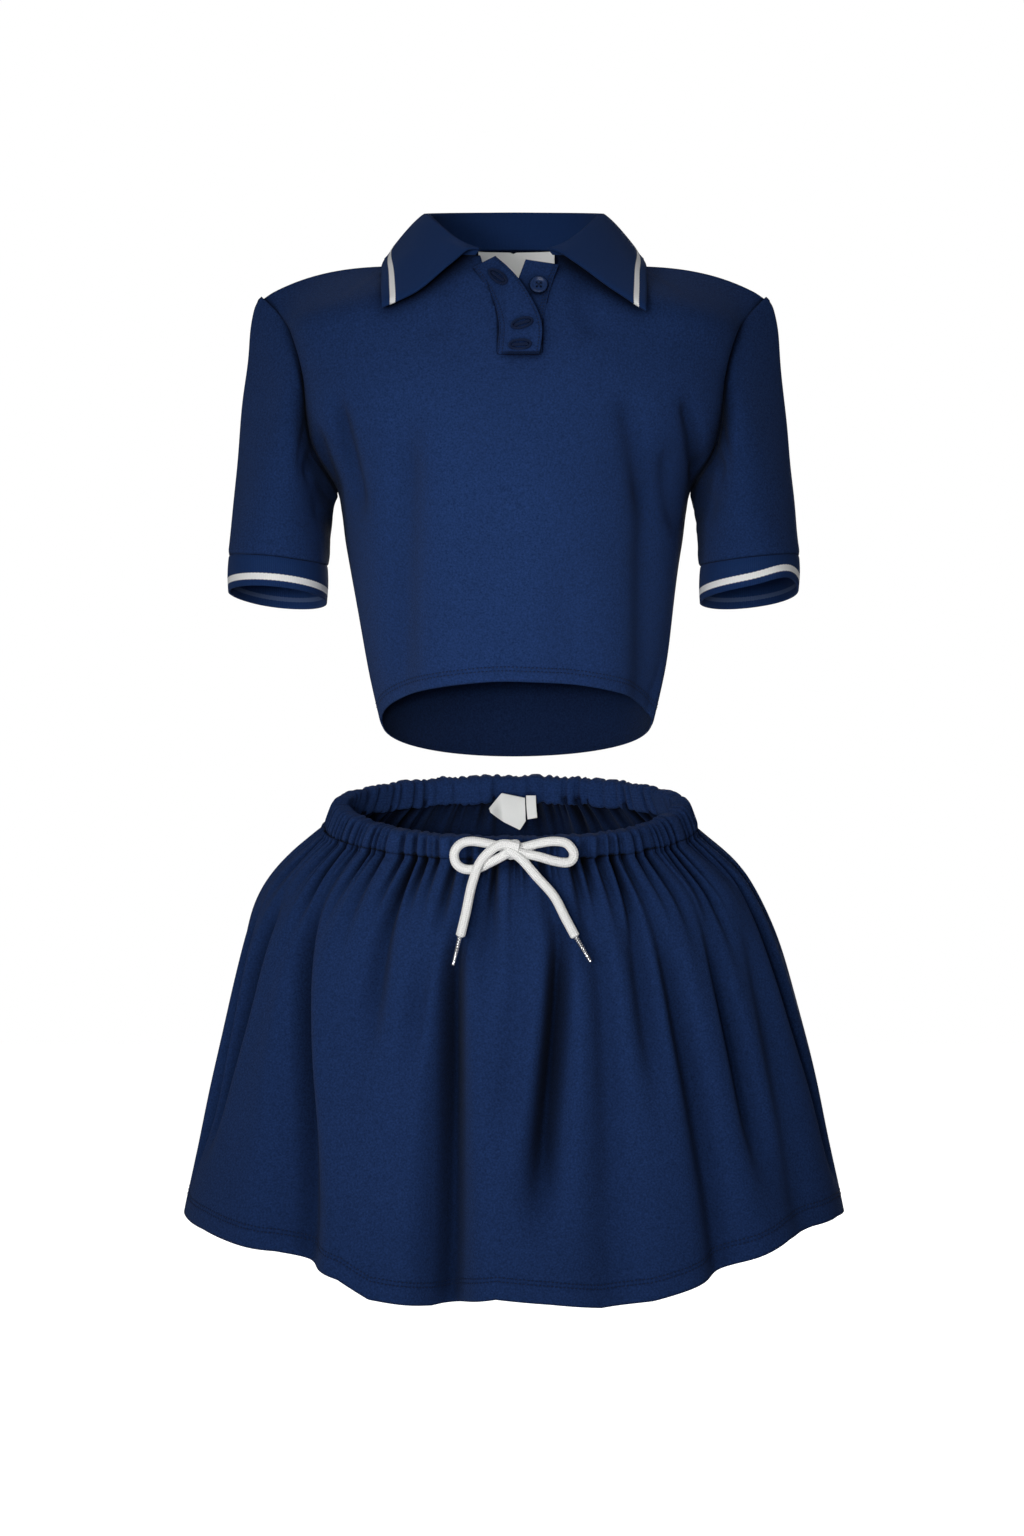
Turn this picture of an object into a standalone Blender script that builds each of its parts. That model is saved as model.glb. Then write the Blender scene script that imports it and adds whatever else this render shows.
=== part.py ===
"""Two-piece cheer uniform: a cropped knit polo top above a gathered skirt, both held open as worn.

Units are metres, +Z is up and the garments face -Y. The origin is under the skirt, in the middle of its
hem outline, level with the lowest point of the front hem. "Left" and "right" are the wearer's, so the
right sleeve lies at -X. Every sewn piece is its own closed solid; a piece that moves is a separate object.
"""

import math

import bmesh
import bpy
from mathutils import Matrix, Vector

# ---- driving dimensions -------------------------------------------------------------------------
FABRIC = 0.0012  # thickness of the body knit
RIB = 0.0016  # thickness of the ribbed cuffs and the flat-knit collar
GAP = 0.0005  # clear space left between neighbouring pieces

# Rows of the front and back panels, hem to yoke: (z at centre, z at edge, half width, depth, edge depth).
# The edge is the side seam up to the underarm (row 4) and the armhole seam above it.
FRONT_ROWS = (
    (0.470, 0.441, 0.107, 0.088, 0.000),
    (0.505, 0.480, 0.116, 0.097, 0.000),
    (0.550, 0.530, 0.125, 0.112, 0.000),
    (0.600, 0.580, 0.134, 0.125, 0.000),
    (0.650, 0.622, 0.141, 0.122, 0.003),
    (0.695, 0.660, 0.161, 0.111, 0.034),
    (0.740, 0.710, 0.167, 0.097, 0.043),
    (0.775, 0.748, 0.178, 0.085, 0.030),
)
BACK_ROWS = (
    (0.413, 0.441, 0.107, 0.086, 0.000),
    (0.462, 0.480, 0.116, 0.088, 0.000),
    (0.518, 0.530, 0.125, 0.093, 0.000),
    (0.575, 0.580, 0.134, 0.098, 0.000),
    (0.630, 0.622, 0.141, 0.101, 0.003),
    (0.680, 0.660, 0.161, 0.100, 0.030),
    (0.730, 0.710, 0.167, 0.096, 0.040),
    (0.778, 0.748, 0.178, 0.088, 0.028),
)
UNDERARM_T = 0.5  # the share of the panel's height at which the side seam ends
SHOULDER_TIP = (0.203, 0.778)  # x and z
SHOULDER_DIP = 0.010  # the seam drops this much under the collar before the shoulder's rounded slope
SLEEVE_PIVOT = (0.2055, 0.7785)  # x and z, just outside the shoulder tip
NECK_X = 0.080
NECK_Z = 0.815
NECK_Z_SWING = 0.012  # the neck seam is this much lower in front and higher behind
NECK_FRONT_Y = -0.077
NECK_BACK_Y = 0.070

CUFF_CENTRE = (0.1885, 0.0, 0.570)  # centre of the seam between sleeve and cuff
CUFF_AXES = (0.039, 0.054)
CUFF_HEIGHT = 0.034
CUFF_TILT = 0.12  # the front of the cuff sits higher than its back

COLLAR_START = 22.0  # degrees round the neck from the centre front
COLLAR_STAND = 0.028
COLLAR_FOLD_X = 0.070  # half width of the fold at the top of the stand
COLLAR_TIP = (0.1005, -0.087, 0.765)
COLLAR_SHOULDER = (0.104, 0.0, 0.8150)
COLLAR_BACK = (0.0, 0.106, 0.803)

PLACKET_BOTTOM = 0.7225
CHEST_Y = -0.111  # front surface at CHEST_Z, and how it leans back above
CHEST_Z = 0.695
CHEST_LEAN = 0.318
BUTTON_RADIUS = 0.0066
BUTTON_THICK = 0.0022
BUTTON_SHANK = 0.0008
BUTTONS = ((0.0192, 0.7785), (0.0062, 0.7480), (0.0046, 0.7315))  # x and z, top to bottom
BUTTONHOLES = ((-0.0125, 0.7860, -0.70), (0.0062, 0.7480, 0.30), (0.0045, 0.7308, 0.08))  # x, z and turn
BUTTONHOLE = (0.0150, 0.0016)  # length and width of the slit
STITCH_HOLE = 0.0008  # radius of the four holes in a button
STITCH_SPREAD = 0.0020  # from the button's centre to each of them
LAPEL_LOW = (0.0205, 0.7610)  # the line along which the open placket's corner folds back
LAPEL_HIGH = (-0.0290, 0.7950)
LAPEL_LIFT = 0.0010  # the fold's axis lies this far in front of the band

WAIST_AXES = (0.146, 0.097)  # centre line of the waistband casing
WAIST_Z = 0.3665  # mid height of the casing at the side seams
WAIST_SLANT = 0.234  # the waist dips towards the front
CASING_HEIGHT = 0.023
CASING_DEPTH = 0.0128
ELASTIC = (0.0016, 0.0175)
ELASTIC_IN = 0.0040  # how far inside the casing's centre line the elastic lies
CORD_RADIUS = 0.0025
CORD_OUT = 0.0012  # how far outside it the drawcord lies
CORD_HOLE_X = 0.013

SKIRT_TOP_Z = 0.353
SKIRT_HEM_Z = 0.051
SKIRT_HEM_AXES = (0.264, 0.170)
SKIRT_SLANT = 0.300
SKIRT_FOLDS = 7  # soft folds round half of the skirt
FOLD_DEPTH = 0.004
SWING_T = 0.30  # the share of the skirt's length that hangs still when the hem swings

KNOT = Vector((-0.001, -0.1225, 0.341))
KNOT_RADIUS = 0.0085
BOW_RADIUS = 0.0030
TAIL_PLANE_LEAN = 0.12  # the tails lie on the flaring skirt, so they lean forward as they drop

NAVY = (0.012, 0.030, 0.095)
WHITE = (0.83, 0.83, 0.81)
STEEL = (0.72, 0.72, 0.74)


# ---- helpers ------------------------------------------------------------------------------------
def clear_scene():
    for obj in list(bpy.data.objects):
        bpy.data.objects.remove(obj)


def material(name, colour, roughness, metallic=0.0):
    """One Principled material, made the first time it is asked for."""
    found = bpy.data.materials.get(name)
    if found:
        return found
    made = bpy.data.materials.new(name)
    made.use_nodes = True
    shader = made.node_tree.nodes["Principled BSDF"]
    shader.inputs["Base Color"].default_value = (*colour, 1.0)
    shader.inputs["Roughness"].default_value = roughness
    shader.inputs["Metallic"].default_value = metallic
    return made


def knit():
    return material("navy_knit", NAVY, 0.85)


def rib():
    return material("navy_rib", NAVY, 0.9)


def white_cloth():
    return material("white_cloth", WHITE, 0.8)


def add_object(name, mesh, look):
    mesh.materials.append(look)
    obj = bpy.data.objects.new(name, mesh)
    bpy.context.scene.collection.objects.link(obj)
    return obj


def mirrored(p, side):
    """A point of the wearer's left half, or its mirror image when side is -1."""
    return Vector((side * p.x, p.y, p.z))


def smooth(t):
    t = min(1.0, max(0.0, t))
    return t * t * (3 - 2 * t)


def mix(a, b, t):
    return a + (b - a) * t


def catmull(rows, t):
    """The smooth curve through equally spaced rows of numbers, at t from 0 to 1."""
    last = len(rows) - 1
    at = min(t * last, last - 1e-9)
    i = int(at)
    u = at - i
    p0, p1, p2, p3 = (rows[min(max(k, 0), last)] for k in (i - 1, i, i + 1, i + 2))
    return [
        0.5 * (2 * b + (c - a) * u + (2 * a - 5 * b + 4 * c - d) * u**2 + (3 * b - a - 3 * c + d) * u**3)
        for a, b, c, d in zip(p0, p1, p2, p3)
    ]


def grid_mesh(name, rows, wrap):
    """A sheet through a grid of points. wrap joins each row's end to its start."""
    mesh = bpy.data.meshes.new(name)
    count = len(rows[0])
    span = count if wrap else count - 1
    faces = []
    for r in range(len(rows) - 1):
        for c in range(span):
            d = (c + 1) % count
            faces.append((r * count + c, r * count + d, (r + 1) * count + d, (r + 1) * count + c))
    mesh.from_pydata([tuple(p) for row in rows for p in row], [], faces)
    return mesh


def sheet(name, rows, thickness, look, wrap=False, flip=False):
    """A fabric piece: a sheet of points with its thickness added on the inner side."""
    mesh = grid_mesh(name, rows, wrap)
    if flip:
        mesh.flip_normals()
    mesh.shade_smooth()
    obj = add_object(name, mesh, look)
    solidify = obj.modifiers.new("thickness", "SOLIDIFY")
    solidify.thickness = thickness
    solidify.offset = -1.0
    return obj


def cutter(name, mesh):
    obj = bpy.data.objects.new(name, mesh)
    bpy.context.scene.collection.objects.link(obj)
    obj.hide_render = True
    obj.display_type = "WIRE"
    return obj


def cut(obj, tool):
    tool.parent = obj
    boolean = obj.modifiers.new("cut_" + tool.name, "BOOLEAN")
    boolean.operation = "DIFFERENCE"
    boolean.object = tool


def pivot(name, place, axis, *carried):
    """An empty on a joint's axis, its Z along the axis, that carries the pieces which turn with it."""
    empty = bpy.data.objects.new(name, None)
    bpy.context.scene.collection.objects.link(empty)
    turn = Vector(axis).to_track_quat("Z", "Y")
    empty.location = place
    empty.rotation_mode = "QUATERNION"
    empty.rotation_quaternion = turn
    at_rest = Matrix.LocRotScale(Vector(place), turn, None)
    for item in carried:
        item.parent = empty
        item.matrix_parent_inverse = at_rest.inverted()
    return empty


def prism(name, outline, y_front, y_back):
    """A closed prism along Y over an outline in the XZ plane, given anticlockwise as seen from the front."""
    made = bmesh.new()
    front = made.faces.new([made.verts.new((x, y_front, z)) for x, z in outline])
    side = bmesh.ops.extrude_face_region(made, geom=[front])
    moved = [v for v in side["geom"] if isinstance(v, bmesh.types.BMVert)]
    bmesh.ops.translate(made, verts=moved, vec=(0, y_back - y_front, 0))
    bmesh.ops.recalc_face_normals(made, faces=made.faces)
    mesh = bpy.data.meshes.new(name)
    made.to_mesh(mesh)
    made.free()
    return mesh


def slot_outline(x, z, length, height, turn=0.0, corners=6):
    """A long hole's outline with round ends, centred on x, z and turned by an angle."""
    points = []
    radius = height / 2
    for end, start in ((1, -90), (-1, 90)):
        for k in range(corners + 1):
            a = math.radians(start + 180 * k / corners)
            px = end * (length / 2 - radius) + radius * math.cos(a)
            pz = radius * math.sin(a)
            out_x = px * math.cos(turn) - pz * math.sin(turn)
            out_z = px * math.sin(turn) + pz * math.cos(turn)
            points.append((x + out_x, z + out_z))
    return points


def tube(name, points, radius, look, sides=8, lengthwise=3):
    """A round cord along a smooth open curve through the points."""
    curve = bpy.data.curves.new(name, "CURVE")
    curve.dimensions = "3D"
    curve.bevel_depth = radius
    curve.bevel_resolution = (sides - 4) // 2
    curve.resolution_u = lengthwise
    curve.use_fill_caps = True
    line = curve.splines.new("BEZIER")
    line.bezier_points.add(len(points) - 1)
    for knot, p in zip(line.bezier_points, points):
        knot.co = p
        knot.handle_left_type = "AUTO"
        knot.handle_right_type = "AUTO"
    return add_object(name, curve, look)


# ---- the top: front, back, sleeves and cuffs ------------------------------------------------------
def shoulder_row(s, front):
    """The panel's top edge: shoulder seam outside |s| = 0.5 and the neck seam inside it."""
    side = math.copysign(1.0, s)
    away = abs(s)
    if away >= 0.5:
        u = (away - 0.5) / 0.5
        x = mix(NECK_X, SHOULDER_TIP[0], u)
        fall = NECK_Z - SHOULDER_TIP[1] - SHOULDER_DIP
        return [side * x, 0.0, NECK_Z - SHOULDER_DIP * smooth(u / 0.2) - fall * u**2.8]
    a = math.radians(180 * away)
    if front:
        return [side * NECK_X * math.sin(a), NECK_FRONT_Y * math.cos(a), NECK_Z - NECK_Z_SWING * math.cos(a)]
    return [side * NECK_X * math.sin(a), NECK_BACK_Y * math.cos(a), NECK_Z + NECK_Z_SWING * math.cos(a)]


def panel_row(s, row, front):
    """One row of a panel: an elliptical sweep from edge to edge."""
    z_mid, z_edge, half, depth, edge = row
    a = s * math.pi / 2
    y = edge + (depth - edge) * math.cos(a)
    return [half * math.sin(a), -y if front else y, z_edge + (z_mid - z_edge) * math.cos(a) ** 0.8]


def panel_point(s, t, front):
    """A point on the outer face of the front or back panel: s from edge to edge, t from hem to shoulder."""
    rows = FRONT_ROWS if front else BACK_ROWS
    points = [panel_row(s, row, front) for row in rows] + [shoulder_row(s, front)]
    x, y, z = catmull(points, t)
    seam = GAP + 0.0010 * smooth((t - 0.85) / 0.10)
    return (x, min(y, -seam) if front else max(y, seam), z)


def make_panel(name, front, columns, rows):
    shares = [-1 + 2 * c / columns for c in range(columns + 1)]
    grid = [[panel_point(s, r / rows, front) for s in shares] for r in range(rows + 1)]
    return sheet(name, grid, FABRIC, knit(), flip=not front)


def armhole_point(side, turn):
    """Round the armhole seam: turn 0 is the underarm, 0.5 the shoulder tip; the front edge comes first."""
    front = turn <= 0.5
    t = UNDERARM_T + (turn if front else 1 - turn)
    return Vector(panel_point(side, min(t, 1.0), front))


def cuff_ring(side, turn, drop, shrink):
    """A point on the cuff's outer face, drop below the sleeve seam."""
    a = 2 * math.pi * turn
    x = CUFF_CENTRE[0] - (CUFF_AXES[0] - shrink) * math.cos(a)
    y = -(CUFF_AXES[1] - shrink) * math.sin(a)
    tilt = CUFF_TILT * y * drop / CUFF_HEIGHT
    z = CUFF_CENTRE[2] - tilt - drop + 0.004 * (x - CUFF_CENTRE[0]) / CUFF_AXES[0]
    return Vector((side * x, y, z))


def make_sleeve(name, side, columns=20, rows=4):
    """A tube from the armhole seam to the cuff seam, clear of both by a gap."""
    hub = Vector((side * 0.165, 0, 0.70))
    grid = []
    for r in range(rows + 1):
        v = r / rows
        ring = []
        for c in range(columns):
            turn = c / columns
            top = armhole_point(side, turn)
            outward = Vector((side, 0, -0.38)).normalized() * (4 * GAP)
            top = top + outward + (top - hub) * 0.004
            low = cuff_ring(side, turn, 0.0, 0.0)
            bulge = Vector((side * 0.004 * (1 - v), 0, 0)) * math.sin(math.pi * v)
            bulge.y = -0.007 * math.sin(2 * math.pi * turn) * math.sin(math.pi * v)
            ring.append(top.lerp(low, v) + bulge)
        grid.append(ring)
    return sheet(name, grid, FABRIC, knit(), wrap=True, flip=side < 0)


def make_cuff(name, side, columns=20, rows=1):
    grid = [
        [cuff_ring(side, c / columns, GAP + CUFF_HEIGHT * r / rows, 0.0020) for c in range(columns)]
        for r in range(rows + 1)
    ]
    return sheet(name, grid, RIB, rib(), wrap=True, flip=side < 0)


def make_shoulder_tape(name, side):
    """The narrow stay tape sewn under the shoulder seam. Its flat underside bears on a hanger."""
    start = Vector((side * 0.100, 0, 0.8040))
    end = Vector((side * 0.160, 0, 0.7945))
    along = (end - start).normalized()
    up = along.cross(Vector((0, side, 0))).normalized()
    up = up if up.z > 0 else -up
    half = 0.0035
    corners = []
    for lift in (0.0, 0.0010):
        for end_point in (start, end):
            for y in (-half, half):
                corners.append(end_point + up * (lift - 0.0030) + Vector((0, y, 0)))
    made = bmesh.new()
    bmesh.ops.convex_hull(made, input=[made.verts.new(p) for p in corners])
    bmesh.ops.recalc_face_normals(made, faces=made.faces)
    mesh = bpy.data.meshes.new(name)
    made.to_mesh(mesh)
    made.free()
    return add_object(name, mesh, white_cloth())


# ---- collar -------------------------------------------------------------------------------------
def neck_point(degrees):
    """On the neck seam; 0 degrees is the centre front, 90 the wearer's left, 180 the back."""
    a = math.radians(degrees)
    depth = NECK_FRONT_Y if math.cos(a) > 0 else -NECK_BACK_Y
    return Vector((NECK_X * math.sin(a), depth * math.cos(a), NECK_Z - NECK_Z_SWING * math.cos(a)))


def fold_point(degrees):
    """On the collar's fold, above the neck seam; the stand runs out at the front ends."""
    a = math.radians(degrees)
    depth = -0.083 if math.cos(a) > 0 else -0.073
    away = min(degrees, 360 - degrees)
    rise = 0.004 + COLLAR_STAND * smooth((away - 15) / 65)
    return Vector((COLLAR_FOLD_X * math.sin(a), depth * math.cos(a), neck_point(degrees).z + rise))


def make_collar_stand(name, columns=26, rows=1):
    grid = []
    for r in range(rows + 1):
        ring = []
        for c in range(columns + 1):
            degrees = mix(COLLAR_START, 360 - COLLAR_START, c / columns)
            low = neck_point(degrees) + Vector((0, 0, 2 * GAP))
            high = fold_point(degrees) - Vector((0, 0, 2 * GAP))
            ring.append(low.lerp(high, r / rows))
        grid.append(ring)
    return sheet(name, grid, RIB, rib())


def collar_fall(start, end, rows):
    """Points down one rib of the fall, from the fold to the free edge, rolled over at the top."""
    away = Vector((start.x, start.y, 0)).normalized()
    roll = start.lerp(end, 0.35) + away * 0.004 + Vector((0, 0, 0.004))
    points = []
    for r in range(rows + 1):
        v = r / rows
        points.append(start.lerp(roll, v).lerp(roll.lerp(end, v), v))
    return points


def leaf_edge(u):
    """The free edge of the wearer's left leaf: u 0 is the collar point, 1 the top of the shoulder."""
    x = mix(COLLAR_TIP[0], COLLAR_SHOULDER[0], u) + 0.005 * math.sin(math.pi * u)
    y = mix(COLLAR_TIP[1], COLLAR_SHOULDER[1], u**0.9)
    z = mix(COLLAR_TIP[2], COLLAR_SHOULDER[2], u**0.75)
    return Vector((x, y, z))


def make_collar_leaf(name, side, columns=6, rows=3):
    """The front part of the fall, from the collar point to the shoulder."""
    ribs = []
    for c in range(columns + 1):
        u = c / columns
        start = fold_point(mix(COLLAR_START, 89, u))
        start = start + Vector((start.x, start.y, 0)).normalized() * (RIB + GAP) + Vector((0, 0, GAP))
        ribs.append([mirrored(p, side) for p in collar_fall(start, leaf_edge(u), rows)])
    grid = [[one[r] for one in ribs] for r in range(rows + 1)]
    return sheet(name, grid, RIB, rib(), flip=side > 0)


def make_collar_back(name, columns=14, rows=3):
    """The back part of the fall, over the shoulders and the back neck."""
    ribs = []
    for c in range(columns + 1):
        degrees = mix(91, 269, c / columns)
        a = math.radians(degrees)
        start = fold_point(degrees)
        start = start + Vector((start.x, start.y, 0)).normalized() * (RIB + GAP) + Vector((0, 0, GAP))
        low = mix(COLLAR_SHOULDER[2], COLLAR_BACK[2], -math.cos(a))
        end = Vector((COLLAR_SHOULDER[0] * math.sin(a), -COLLAR_BACK[1] * math.cos(a), low))
        ribs.append(collar_fall(start, end, rows))
    grid = [[one[r] for one in ribs] for r in range(rows + 1)]
    return sheet(name, grid, RIB, rib(), flip=True)


# ---- placket and buttons --------------------------------------------------------------------------
def chest_y(x, z):
    """The front surface near the centre line."""
    return CHEST_Y + CHEST_LEAN * (z - CHEST_Z) + 1.0 * x * x


def placket_cutter():
    """The opening in the front panel: a straight slit that widens into a V."""
    outline = [
        (-0.0130, PLACKET_BOTTOM),
        (0.0212, PLACKET_BOTTOM),
        (0.0224, 0.752),
        (0.0284, 0.778),
        (0.0350, 0.802),
        (0.0350, 0.830),
        (-0.0350, 0.830),
        (-0.0130, 0.757),
    ]
    return cutter("placket_opening", prism("placket_opening", outline, -0.16, -0.02))


def band_lift():
    """How far the buttonhole band's face lies in front of the chest, over the buttons."""
    return BUTTON_SHANK + BUTTON_THICK + 3 * GAP + FABRIC


def placket_band(name, left, right, lift, columns=4, rows=8):
    """A band between two edges that share heights, lift in front of the chest surface."""
    grid = []
    for r in range(rows + 1):
        t = r / rows
        x0, z0 = catmull(left, t)
        x1, z1 = catmull(right, t)
        ring = []
        for c in range(columns + 1):
            x, z = mix(x0, x1, c / columns), mix(z0, z1, c / columns)
            ring.append((x, chest_y(x, z) - lift, z))
        grid.append(ring)
    return sheet(name, grid, FABRIC, knit())


def beyond_lapel_fold(name, side):
    """A block over everything on one side of the lapel's fold line: 1 is the free corner's side."""
    low, high = Vector(LAPEL_LOW), Vector(LAPEL_HIGH)
    along = (high - low).normalized()
    across = Vector((-along.y, along.x)) * -side
    reach = 0.08
    near = [low - along * reach - across * GAP / 2, high + along * reach - across * GAP / 2]
    outline = near + [p + across * reach for p in near[::-1]]
    return cutter(name, prism(name, outline, -0.14, -0.05))


def make_plackets():
    base = PLACKET_BOTTOM + 2 * GAP
    placket_band(
        "button_band",
        ((-0.0080, base), (-0.0060, 0.752), (0.0020, 0.780), (0.0080, 0.802)),
        ((0.0205, base), (0.0214, 0.752), (0.0268, 0.778), (0.0310, 0.797)),
        0.0,
    )
    over = placket_band(
        "buttonhole_band",
        ((-0.0120, base), (-0.0122, 0.751), (-0.0200, 0.775), (-0.0290, 0.797)),
        ((0.0200, base), (0.0208, 0.751), (0.0060, 0.780), (-0.0110, 0.804)),
        band_lift(),
    )
    lapel = over.copy()
    lapel.data = over.data.copy()
    lapel.name = "placket_lapel"
    bpy.context.scene.collection.objects.link(lapel)
    cut(over, beyond_lapel_fold("fold_above", 1))
    cut(lapel, beyond_lapel_fold("fold_below", -1))
    for k, (x, z, turn) in enumerate(BUTTONHOLES, 1):
        tool = f"buttonhole_{k}"
        outline = slot_outline(x, z, *BUTTONHOLE, turn, corners=4)
        cut(lapel if k == 1 else over, cutter(tool, prism(tool, outline, -0.14, -0.05)))
    low, high = (Vector((x, chest_y(x, z) - band_lift() - LAPEL_LIFT, z)) for x, z in (LAPEL_LOW, LAPEL_HIGH))
    pivot("placket_lapel_fold", (low + high) / 2, low - high, lapel)


def on_chest(obj, x, z):
    """Puts an object on the button band's surface, facing along its normal, which a button turns about."""
    normal = Vector((0, -1, CHEST_LEAN)).normalized()
    obj.location = Vector((x, chest_y(x, z), z)) + normal * (BUTTON_SHANK + GAP)
    obj.rotation_mode = "QUATERNION"
    obj.rotation_quaternion = normal.to_track_quat("Z", "Y")


def make_button(name, x, z):
    """A four-hole button with a raised rim."""
    r, h = BUTTON_RADIUS, BUTTON_THICK
    profile = [(0, 0), (0.78 * r, 0), (r, 0.4 * h), (r, 0.75 * h), (0.92 * r, h), (0.74 * r, h)]
    profile += [(0.66 * r, 0.62 * h), (0, 0.62 * h)]
    steps = 16
    made = bmesh.new()
    edges = []
    chain = [made.verts.new((px, 0, pz)) for px, pz in profile]
    for a, b in zip(chain, chain[1:]):
        edges.append(made.edges.new((a, b)))
    full = 2 * math.pi
    bmesh.ops.spin(made, geom=chain + edges, cent=(0, 0, 0), axis=(0, 0, 1), angle=full, steps=steps)
    bmesh.ops.remove_doubles(made, verts=made.verts, dist=1e-6)
    bmesh.ops.recalc_face_normals(made, faces=made.faces)
    mesh = bpy.data.meshes.new(name)
    made.to_mesh(mesh)
    made.free()
    mesh.shade_smooth()
    obj = add_object(name, mesh, material("navy_button", (0.010, 0.022, 0.065), 0.3))
    holes = bmesh.new()
    for k in range(4):
        ring = bmesh.ops.create_cone(
            holes, cap_ends=True, segments=8, radius1=STITCH_HOLE, radius2=STITCH_HOLE, depth=4 * h
        )["verts"]
        a = math.pi * (k / 2 + 0.25)
        place = Vector((math.cos(a), math.sin(a), 0)) * STITCH_SPREAD
        bmesh.ops.translate(holes, verts=ring, vec=place)
    hole_mesh = bpy.data.meshes.new(name + "_holes")
    holes.to_mesh(hole_mesh)
    holes.free()
    cut(obj, cutter(name + "_holes", hole_mesh))
    on_chest(obj, x, z)


def make_button_thread(name, x, z):
    """The sewing thread: a cross in the button's hollow, with four legs down through its holes."""
    half = 0.0003
    top = 0.94 * BUTTON_THICK
    made = bmesh.new()
    reach = (0.0, half, STITCH_SPREAD - half, STITCH_SPREAD + half)
    quads = [[(-half, -half), (half, -half), (half, half), (-half, half)]]
    for k in range(4):
        c, s = math.cos(k * math.pi / 2), math.sin(k * math.pi / 2)
        for near, far in zip(reach[1:], reach[2:]):
            box = ((near, -half), (far, -half), (far, half), (near, half))
            quads.append([(px * c - py * s, px * s + py * c) for px, py in box])
    for quad in quads:
        made.faces.new([made.verts.new((px, py, top)) for px, py in quad])
    bmesh.ops.remove_doubles(made, verts=made.verts, dist=1e-6)
    up = bmesh.ops.extrude_face_region(made, geom=made.faces[:])["geom"]
    lower = [v for v in up if isinstance(v, bmesh.types.BMVert)]
    bmesh.ops.translate(made, verts=lower, vec=(0, 0, -2 * half))
    bmesh.ops.recalc_face_normals(made, faces=made.faces)
    under = [f for f in made.faces if f.normal.z < -0.5]
    ends = [f for f in under if f.calc_center_median().xy.length > STITCH_SPREAD / 1.5]
    legs = bmesh.ops.extrude_face_region(made, geom=ends)["geom"]
    bmesh.ops.delete(made, geom=ends, context="FACES_ONLY")
    feet = [v for v in legs if isinstance(v, bmesh.types.BMVert)]
    bmesh.ops.translate(made, verts=feet, vec=(0, 0, -(top - 2 * half) - BUTTON_SHANK))
    bmesh.ops.rotate(made, verts=made.verts, cent=(0, 0, 0), matrix=Matrix.Rotation(math.pi / 4, 3, "Z"))
    mesh = bpy.data.meshes.new(name)
    made.to_mesh(mesh)
    made.free()
    obj = add_object(name, mesh, material("navy_thread", (0.008, 0.02, 0.065), 0.7))
    on_chest(obj, x, z)


# ---- labels ---------------------------------------------------------------------------------------
def make_neck_label(columns=8):
    """The wide woven label that hangs from the back neck seam, curved with it."""
    grid = []
    for drop in (0.0, 0.018, 0.036):
        ring = []
        for c in range(columns + 1):
            x = mix(-0.029, 0.033, c / columns)
            y = NECK_BACK_Y * math.sqrt(1 - (x / NECK_X) ** 2) - 0.0035
            ring.append((x, y + 0.10 * drop, 0.8250 - drop))
        grid.append(ring)
    return sheet("neck_label", grid, 0.0006, white_cloth())


def make_tab(name, x, width, top, height, y, lean):
    """A flat fabric tab hanging from its top edge inside the waistband."""
    grid = [[(x - width / 2, y, top), (x + width / 2, y, top)]]
    grid.append([(x - width / 2, y - lean, top - height), (x + width / 2, y - lean, top - height)])
    return sheet(name, grid, 0.0006, white_cloth())


# ---- skirt ----------------------------------------------------------------------------------------
def waist_point(a, across, up):
    """Near the casing's centre line at angle a: across is outwards, up is along the slanted height."""
    x = (WAIST_AXES[0] + across) * math.cos(a)
    y = (WAIST_AXES[1] + across) * math.sin(a)
    return (x, y, WAIST_Z + WAIST_SLANT * y + up)


def ring_tube(made, section, steps, inside):
    """Adds a closed ring of the given section round the waist, facing in when it is a cavity's wall."""
    rings = []
    for k in range(steps):
        a = 2 * math.pi * (k + 0.5) / steps
        rings.append([made.verts.new(waist_point(a, across, up)) for across, up in section])
    count = len(section)
    for k in range(steps):
        one, two = rings[k], rings[(k + 1) % steps]
        for c in range(count):
            d = (c + 1) % count
            face = (one[c], one[d], two[d], two[c])
            made.faces.new(face[::-1] if inside else face)


def section_of(depth, height, shift=0.0, round_off=0.0):
    """A four- or eight-sided section, anticlockwise with outwards to the right."""
    d, h, c = depth / 2, height / 2, round_off
    if not c:
        corners = [(d, -h), (d, h), (-d, h), (-d, -h)]
    else:
        corners = [(d, c - h), (d, h - c), (d - c, h), (c - d, h)]
        corners += [(-d, h - c), (-d, c - h), (c - d, -h), (d - c, -h)]
    return [(x + shift, z) for x, z in corners][::-1]


def make_casing(steps=48):
    """The waistband tunnel: a hollow band with two holes in front where the drawcord comes out."""
    made = bmesh.new()
    ring_tube(made, section_of(CASING_DEPTH, CASING_HEIGHT, round_off=0.0025), steps, inside=False)
    wall = 2 * FABRIC
    ring_tube(made, section_of(CASING_DEPTH - wall, CASING_HEIGHT - wall), steps, inside=True)
    mesh = bpy.data.meshes.new("waistband_casing")
    made.to_mesh(mesh)
    made.free()
    mesh.shade_smooth()
    obj = add_object("waistband_casing", mesh, knit())
    for name, x in (("cord_hole_right", -CORD_HOLE_X), ("cord_hole_left", CORD_HOLE_X)):
        centre = waist_point(math.acos(x / WAIST_AXES[0]) + math.pi, 0, 0)
        radius = CORD_RADIUS + 2 * GAP
        outline = slot_outline(x, centre[2], 2 * radius + 0.0001, 2 * radius, corners=8)
        cut(obj, cutter(name, prism(name, outline, centre[1] - 0.02, centre[1])))
    return obj


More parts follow.
